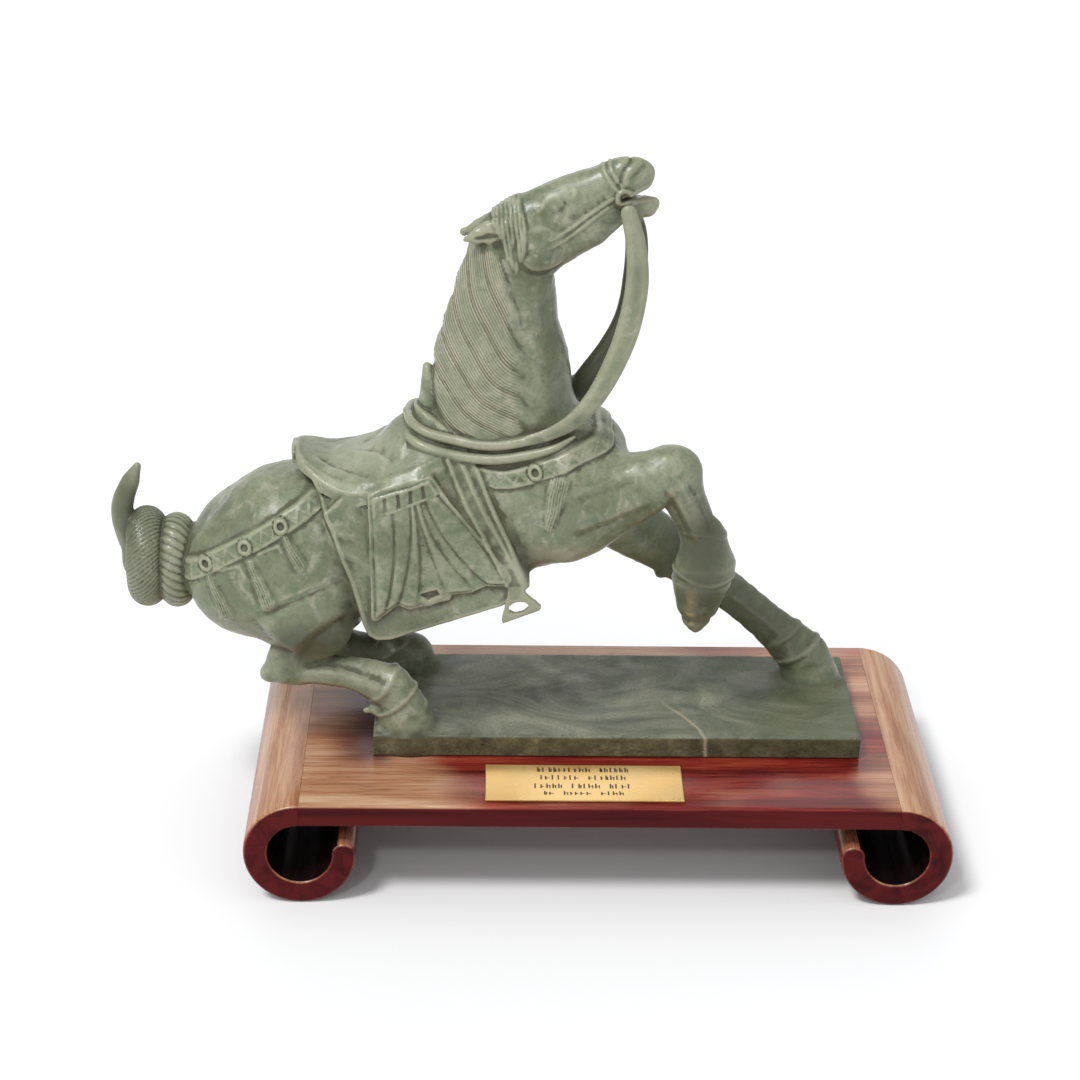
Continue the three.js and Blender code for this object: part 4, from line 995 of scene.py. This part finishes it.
def jade_paint():
    paint = Paint("jade")
    cloud = paint.noise(42, detail=5, distortion=0.8)
    colour = paint.ramp(cloud, [(0.3, (0.115, 0.138, 0.072)), (0.45, (0.18, 0.206, 0.12)),
                                (0.58, (0.242, 0.262, 0.168)), (0.74, (0.34, 0.35, 0.245))])
    streak = paint.noise(26, stretch=(1, 1, 2.4), detail=6, rough=0.6, distortion=1.6)
    colour = paint.mix(paint.between(streak, 0.48, 0.7, 0, 0.7), colour, (0.112, 0.158, 0.088))
    haze = paint.noise(18, stretch=(1.5, 1, 1), detail=5, distortion=1.0)
    colour = paint.mix(paint.between(haze, 0.52, 0.7, 0, 0.7), colour, (0.37, 0.365, 0.28))
    mottle = paint.noise(8, detail=5, rough=0.65)
    colour = paint.mix(paint.between(mottle, 0.5, 0.66, 0, 0.6), colour, (0.115, 0.14, 0.076))
    grain = paint.noise(1.8, detail=3)
    colour = paint.mix(paint.between(grain, 0.42, 0.7, 0, 0.3), colour, (0.09, 0.1, 0.06))
    groove = paint.value_of("groove")
    hollow = paint.value_of("hollow")
    # Paler on convex edges, where the groove value is below 0: a painted highlight
    colour = paint.mix(paint.between(groove, -0.03, -0.16, 0, 0.42), colour, (0.44, 0.42, 0.3))
    dark = paint.value_of("dark")
    # Paler below 0 and darker above it: the stone's own tone mixed with painted light and painted shade
    colour = paint.mix(paint.between(dark, 0, -1, 0, 0.7), colour, (0.43, 0.435, 0.325))
    colour = paint.mix(paint.between(dark, 0, 1, 0, 0.92), colour, (0.06, 0.064, 0.035))
    blotch = paint.noise(12, detail=4)
    # Darker brown in grooves and hollows, in blotches: dirt together with painted shade in the recesses
    recess_dirt_and_shade = paint.most(paint.between(groove, 0.015, 0.13, 0, 1), paint.between(hollow, 0.04, 0.22, 0, 0.7))
    recess_dirt_and_shade = paint.times(recess_dirt_and_shade, paint.between(blotch, 0.3, 0.6, 0.5, 1.0))
    colour = paint.mix(paint.times(recess_dirt_and_shade, 0.85), colour, (0.06, 0.056, 0.028))
    hair = paint.value_of("hair")
    comb = paint.scaled(paint.value_of("lock"), 2 * math.pi * STRANDS)
    comb = paint.between(paint.sum(comb, 0, "COSINE"), -0.9, 0.9)
    hair_colour = paint.mix(comb, (0.105, 0.108, 0.066), (0.46, 0.41, 0.3))
    patchy = paint.between(paint.noise(15, detail=3), 0.35, 0.65, 0.35, 0.75)
    colour = paint.mix(paint.times(hair, patchy), colour, hair_colour)
    # Downward-facing surfaces turn a darker brown: painted shade with a brown tint
    under = paint.times(paint.between(paint.facing_z, -0.25, -0.9, 0, 0.8),
                      paint.between(blotch, 0.35, 0.6, 0.2, 0.8))
    colour = paint.mix(under, colour, (0.21, 0.155, 0.085))
    slab = paint.between(paint.z, SLAB_TOP + 6 * MM, SLAB_TOP + 0.3 * MM)
    vein = paint.noise(60, stretch=(1, 1.6, 1), detail=8, rough=0.65, distortion=2.2)
    slab_colour = paint.ramp(vein, [(0.32, (0.062, 0.07, 0.042)), (0.44, (0.12, 0.13, 0.084)),
                                    (0.56, (0.19, 0.196, 0.134)), (0.72, (0.29, 0.292, 0.205))])
    slab_colour = paint.mix(paint.between(paint.noise(1.4, detail=3), 0.4, 0.7, 0, 0.4), slab_colour,
                            (0.055, 0.062, 0.038))
    right = paint.between(paint.x, STAND_X + 0.01, STAND_X + 0.125, 0, 0.55)
    slab_colour = paint.mix(right, slab_colour, (0.07, 0.082, 0.036))
    edge = paint.times(paint.between(paint.z, SLAB_TOP - 0.4 * MM, SLAB_TOP - 1.6 * MM),
                     paint.between(paint.facing_z, 0.7, 0.4))
    edge_colour = paint.ramp(paint.noise(7, detail=6, rough=0.7), [
        (0.35, (0.05, 0.044, 0.018)), (0.55, (0.105, 0.092, 0.042)), (0.72, (0.19, 0.17, 0.09))])
    edge_colour = paint.mix(paint.times(right, 0.8), edge_colour, (0.036, 0.032, 0.012))
    slab_colour = paint.mix(edge, slab_colour, edge_colour)
    slant = paint.sum(paint.sum(paint.x, paint.scaled(paint.y, 0.55)),
                      paint.scaled(paint.noise(30, detail=4), 0.012))
    off = paint.sum(paint.sum(slant, -(STAND_X + 0.041)), 0, "ABSOLUTE")
    front = paint.between(paint.y, 0.004, -0.012)
    crack = paint.times(paint.between(off, 1.6 * MM, 0.2 * MM, 0, 0.75), front)
    slab_colour = paint.mix(crack, slab_colour, (0.34, 0.31, 0.21))
    colour = paint.mix(slab, colour, slab_colour)
    polish = paint.between(paint.noise(20, detail=3), 0.35, 0.65, 0.27, 0.43)
    rough = paint.sum(polish, paint.times(recess_dirt_and_shade, 0.3))
    rough = paint.sum(rough, paint.times(slab, 0.2))
    rough = paint.sum(rough, paint.times(paint.times(edge, slab), 0.3))
    relief = paint.sum(paint.noise(3.2, detail=5, rough=0.6), paint.times(grain, 0.3))
    relief = paint.sum(relief, paint.times(paint.times(comb, hair), 0.5))
    paint.bump(relief, 0.28, 0.6)
    return paint.finish(colour, rough)


def lacquer_paint(name, along, wear_and_reflection_by_place, shift=0.0):
    """Gloss lacquer over red-brown wood with its grain along the given axis."""
    paint = Paint(name)
    stretch = {"x": (0.05, 1, 1), "y": (1, 0.05, 1)}[along]
    fine = paint.noise(1.8, stretch=stretch, detail=6, rough=0.65, distortion=0.6)
    wide = paint.noise(13, stretch=stretch, detail=4, distortion=1.0)
    grain = paint.sum(paint.times(fine, 0.45), paint.times(wide, 0.55))
    colour = paint.ramp(grain, [(0.38, (0.06, 0.004, 0.004)), (0.47, (0.15, 0.01, 0.008)),
                                (0.55, (0.24, 0.024, 0.014)), (0.66, (0.38, 0.095, 0.045))])
    # Pale colours for upward faces: wear, and painted reflection of the bright surroundings
    light = paint.ramp(grain, [(0.38, (0.29, 0.115, 0.055)), (0.48, (0.41, 0.195, 0.1)),
                               (0.56, (0.52, 0.3, 0.175)), (0.66, (0.64, 0.43, 0.28))])
    patch = paint.sum(paint.noise(45, stretch=stretch, detail=3), paint.noise(70, detail=2))
    # Paler on upward faces, by noise and by place: partly wear, partly painted reflection
    wear_and_painted_reflection = paint.sum(paint.sum(patch, -0.5 + shift), paint.times(wear_and_reflection_by_place(paint), 1.0))
    wear_and_painted_reflection = paint.times(paint.between(wear_and_painted_reflection, 0.7, 1.15), paint.between(paint.facing_z, 0.2, 0.7))
    colour = paint.mix(wear_and_painted_reflection, colour, light)
    # A dark patch on the board's top, left of the slab: a painted reflection of the slab
    painted_slab_reflection = paint.times(paint.between(paint.x, STAND_X - 0.142, STAND_X - 0.116, 0, 0.85),
                       paint.between(paint.x, STAND_X - 0.1, STAND_X - 0.112))
    painted_slab_reflection = paint.times(painted_slab_reflection, paint.between(paint.y, -0.05, -0.034))
    colour = paint.mix(painted_slab_reflection, colour, (0.05, 0.018, 0.02))
    # Front and back faces painted darker: painted shade
    upright = paint.between(paint.facing_y, -0.6, -0.95)
    upright = paint.most(upright, paint.between(paint.facing_y, 0.93, 0.99))
    dark_face = paint.ramp(wide, [(0.35, (0.04, 0.003, 0.004)), (0.6, (0.095, 0.008, 0.009))])
    colour = paint.mix(upright, colour, dark_face)
    # Downward faces painted darker: painted shade
    lower = paint.times(paint.between(paint.facing_z, 0.15, -0.4), paint.between(upright, 0.5, 0, 0, 0.85))
    colour = paint.mix(lower, colour, (0.06, 0.008, 0.007))
    paint.put(paint.shader.inputs["Specular IOR Level"], paint.between(upright, 0, 1, 0.32, 0.08))
    paint.put(paint.shader.inputs["Coat Weight"], paint.between(upright, 0, 1, 0.12, 0.03))
    paint.bump(fine, 0.1, 0.3)
    return paint.finish(colour, paint.between(fine, 0.3, 0.7, 0.22, 0.38), coat_roughness=0.1)


# Near-black lacquer for the rolls' inner walls: partly black lacquer, partly painted shade inside the roll
def black_lacquer_and_inner_shade():
    paint = Paint("black_lacquer_and_inner_shade")
    fine = paint.noise(3, stretch=(1, 0.05, 1), detail=5)
    colour = paint.ramp(fine, [(0.4, (0.004, 0.003, 0.003)), (0.7, (0.016, 0.005, 0.005))])
    paint.bump(fine, 0.08, 0.3)
    return paint.finish(colour, 0.24)


def brass_paint():
    paint = Paint("polished_brass")
    cloud = paint.noise(30, detail=4)
    colour = paint.ramp(cloud, [(0.35, (0.78, 0.48, 0.16)), (0.65, (0.9, 0.62, 0.26))])
    brushed = paint.noise(0.5, stretch=(0.02, 1, 1), detail=3)
    colour = paint.mix(paint.between(brushed, 0.4, 0.75, 0, 0.3), colour, (0.7, 0.46, 0.18))
    paint.bump(brushed, 0.06, 0.05)
    paint.shader.inputs["Metallic"].default_value = 0.6
    return paint.finish(colour, paint.between(cloud, 0.3, 0.7, 0.22, 0.34))


def enamel_paint():
    paint = Paint("stroke_enamel")
    colour = paint.ramp(paint.noise(3, detail=3), [(0.4, (0.03, 0.016, 0.006)), (0.7, (0.07, 0.04, 0.015))])
    return paint.finish(colour, 0.4)


def floor_paint():
    paint = Paint("pale_floor")
    colour = paint.ramp(paint.noise(400, detail=2), [(0.4, (0.9, 0.9, 0.9)), (0.6, (0.92, 0.92, 0.92))])
    return paint.finish(colour, 0.9)


# ---- putting it together

def dress(piece, *materials):
    piece.data.materials.clear()
    for material in materials:
        piece.data.materials.append(material)
    return piece


def carried(piece, slot, *nodes):
    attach(piece, "root")
    if nodes:
        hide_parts(*nodes)


# Where the board's top is paler: partly wear, partly painted reflection at its ends and along its back
def board_wear_and_reflection(paint):
    offset = paint.sum(paint.x, -STAND_X)
    left = paint.between(offset, -0.02, -0.11, 0.1, 0.62)
    right = paint.between(offset, 0.115, 0.148, 0, 0.45)
    back = paint.between(paint.y, 0.035, 0.075, 0, 0.45)
    return paint.most(paint.most(left, right), back)


# Paler higher up the rolled end: partly wear, partly painted light on its top
def left_scroll_wear_and_reflection(paint):
    return paint.between(paint.z, 34 * MM, 52 * MM, 0.35, 0.85)


# Paler higher up the rolled end: partly wear, partly painted light on its top
def right_scroll_wear_and_reflection(paint):
    return paint.between(paint.z, 30 * MM, 52 * MM, 0.3, 0.6)


def build_stand():
    board = lofted("top_board", board_section, (STAND_X, (board_low.z + board_high.z) / 2))
    dress(board, lacquer_paint("lacquer_board", "x", board_wear_and_reflection))
    carried(board, "lacquer", "stand_top_board")
    inner_black_and_shade = black_lacquer_and_inner_shade()
    for name, mirror, node, wear_and_reflection_by_place in (("scroll_right", 1, "stand_scroll_right", right_scroll_wear_and_reflection),
                                     ("scroll_left", -1, "stand_scroll_left", left_scroll_wear_and_reflection)):
        centre = (STAND_X + mirror * SCROLL_X, SCROLL_RADIUS)
        piece = lofted(name, scroll_section, centre, mirror)
        dress(piece, lacquer_paint("lacquer_" + name, "y", wear_and_reflection_by_place, 0.05), inner_black_and_shade)
        # The inner wall of each roll takes the near-black lacquer: partly black lacquer, partly painted shade
        for face in piece.data.polygons:
            out = math.hypot(face.center.x - centre[0], face.center.z - centre[1])
            face.material_index = int(out < SCROLL_RADIUS - WALL + 3 * MM and abs(face.normal.y) < 0.5)
        carried(piece, "lacquer", node)


def build_floor():
    half = 6.0
    spots = np.array([[-half, -half, 0], [half, -half, 0], [half, half, 0], [-half, half, 0]])
    floor = mesh_piece("floor", spots, np.array([[0, 1, 2, 3]]))
    dress(floor, floor_paint())


def area_light(name, place, target, size, power):
    data = bpy.data.lights.new(name, "AREA")
    data.shape = "RECTANGLE"
    data.size, data.size_y = size
    data.energy = power
    light = in_scene(name, data)
    light.location = place
    light.rotation_euler = (Vector(target) - Vector(place)).to_track_quat("-Z", "Y").to_euler()


def build_lights():
    world = bpy.data.worlds.new("studio")
    bpy.context.scene.world = world
    world.use_nodes = True
    background = world.node_tree.nodes["Background"]
    background.inputs["Color"].default_value = (0.96, 0.98, 1.0, 1)
    background.inputs["Strength"].default_value = 0.6
    middle = (0, 0, 0.18)
    key = bpy.data.lights.new("key", "SUN")
    key.energy = 1.85
    key.angle = math.radians(14)
    toward_sun = Vector((-0.45, -0.42, 1.0))
    in_scene("key", key).rotation_euler = toward_sun.to_track_quat("Z", "Y").to_euler()
    area_light("softbox_back", (-0.2, 2.6, 1.5), middle, (2.6, 1.4), 11)
    area_light("glint", (-0.5, -1.7, 1.5), middle, (0.16, 0.16), 5)


def build_camera():
    """The camera was solved from the stand's corners in a frame of 1080 pixels a side."""
    focal_pixels, frame_pixels = 2558.78, 1080
    yaw, pitch, roll = (math.radians(a) for a in (1.243, 25.571, -1.035))
    data = bpy.data.cameras.new("camera")
    data.sensor_width = 36
    data.lens = focal_pixels / frame_pixels * data.sensor_width
    data.dof.use_dof = False
    data.clip_start, data.clip_end = 0.05, 50
    forward = Vector((math.sin(yaw) * math.cos(pitch), math.cos(yaw) * math.cos(pitch), -math.sin(pitch)))
    level = Vector((math.cos(yaw), -math.sin(yaw), 0))
    down = forward.cross(level)
    right = math.cos(roll) * level + math.sin(roll) * down
    down = -math.sin(roll) * level + math.cos(roll) * down
    place = Vector((STAND_X - 55.77 * MM, -1168.46 * MM, 720.89 * MM))
    camera = in_scene("camera", data)
    turned = Matrix((right, -down, -forward)).transposed().to_4x4()
    camera.matrix_world = Matrix.Translation(place) @ turned
    bpy.context.scene.camera = camera


horse = horse_piece()
dress(horse, jade_paint())
carried(horse, "jade", "horse_carving")
build_stand()
dress(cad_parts["brass_plaque"], brass_paint())
strokes = plaque_strokes()
dress(strokes, enamel_paint())
carried(strokes, "brass")
build_floor()
build_lights()
build_camera()
bpy.context.scene.view_settings.view_transform = "Standard"
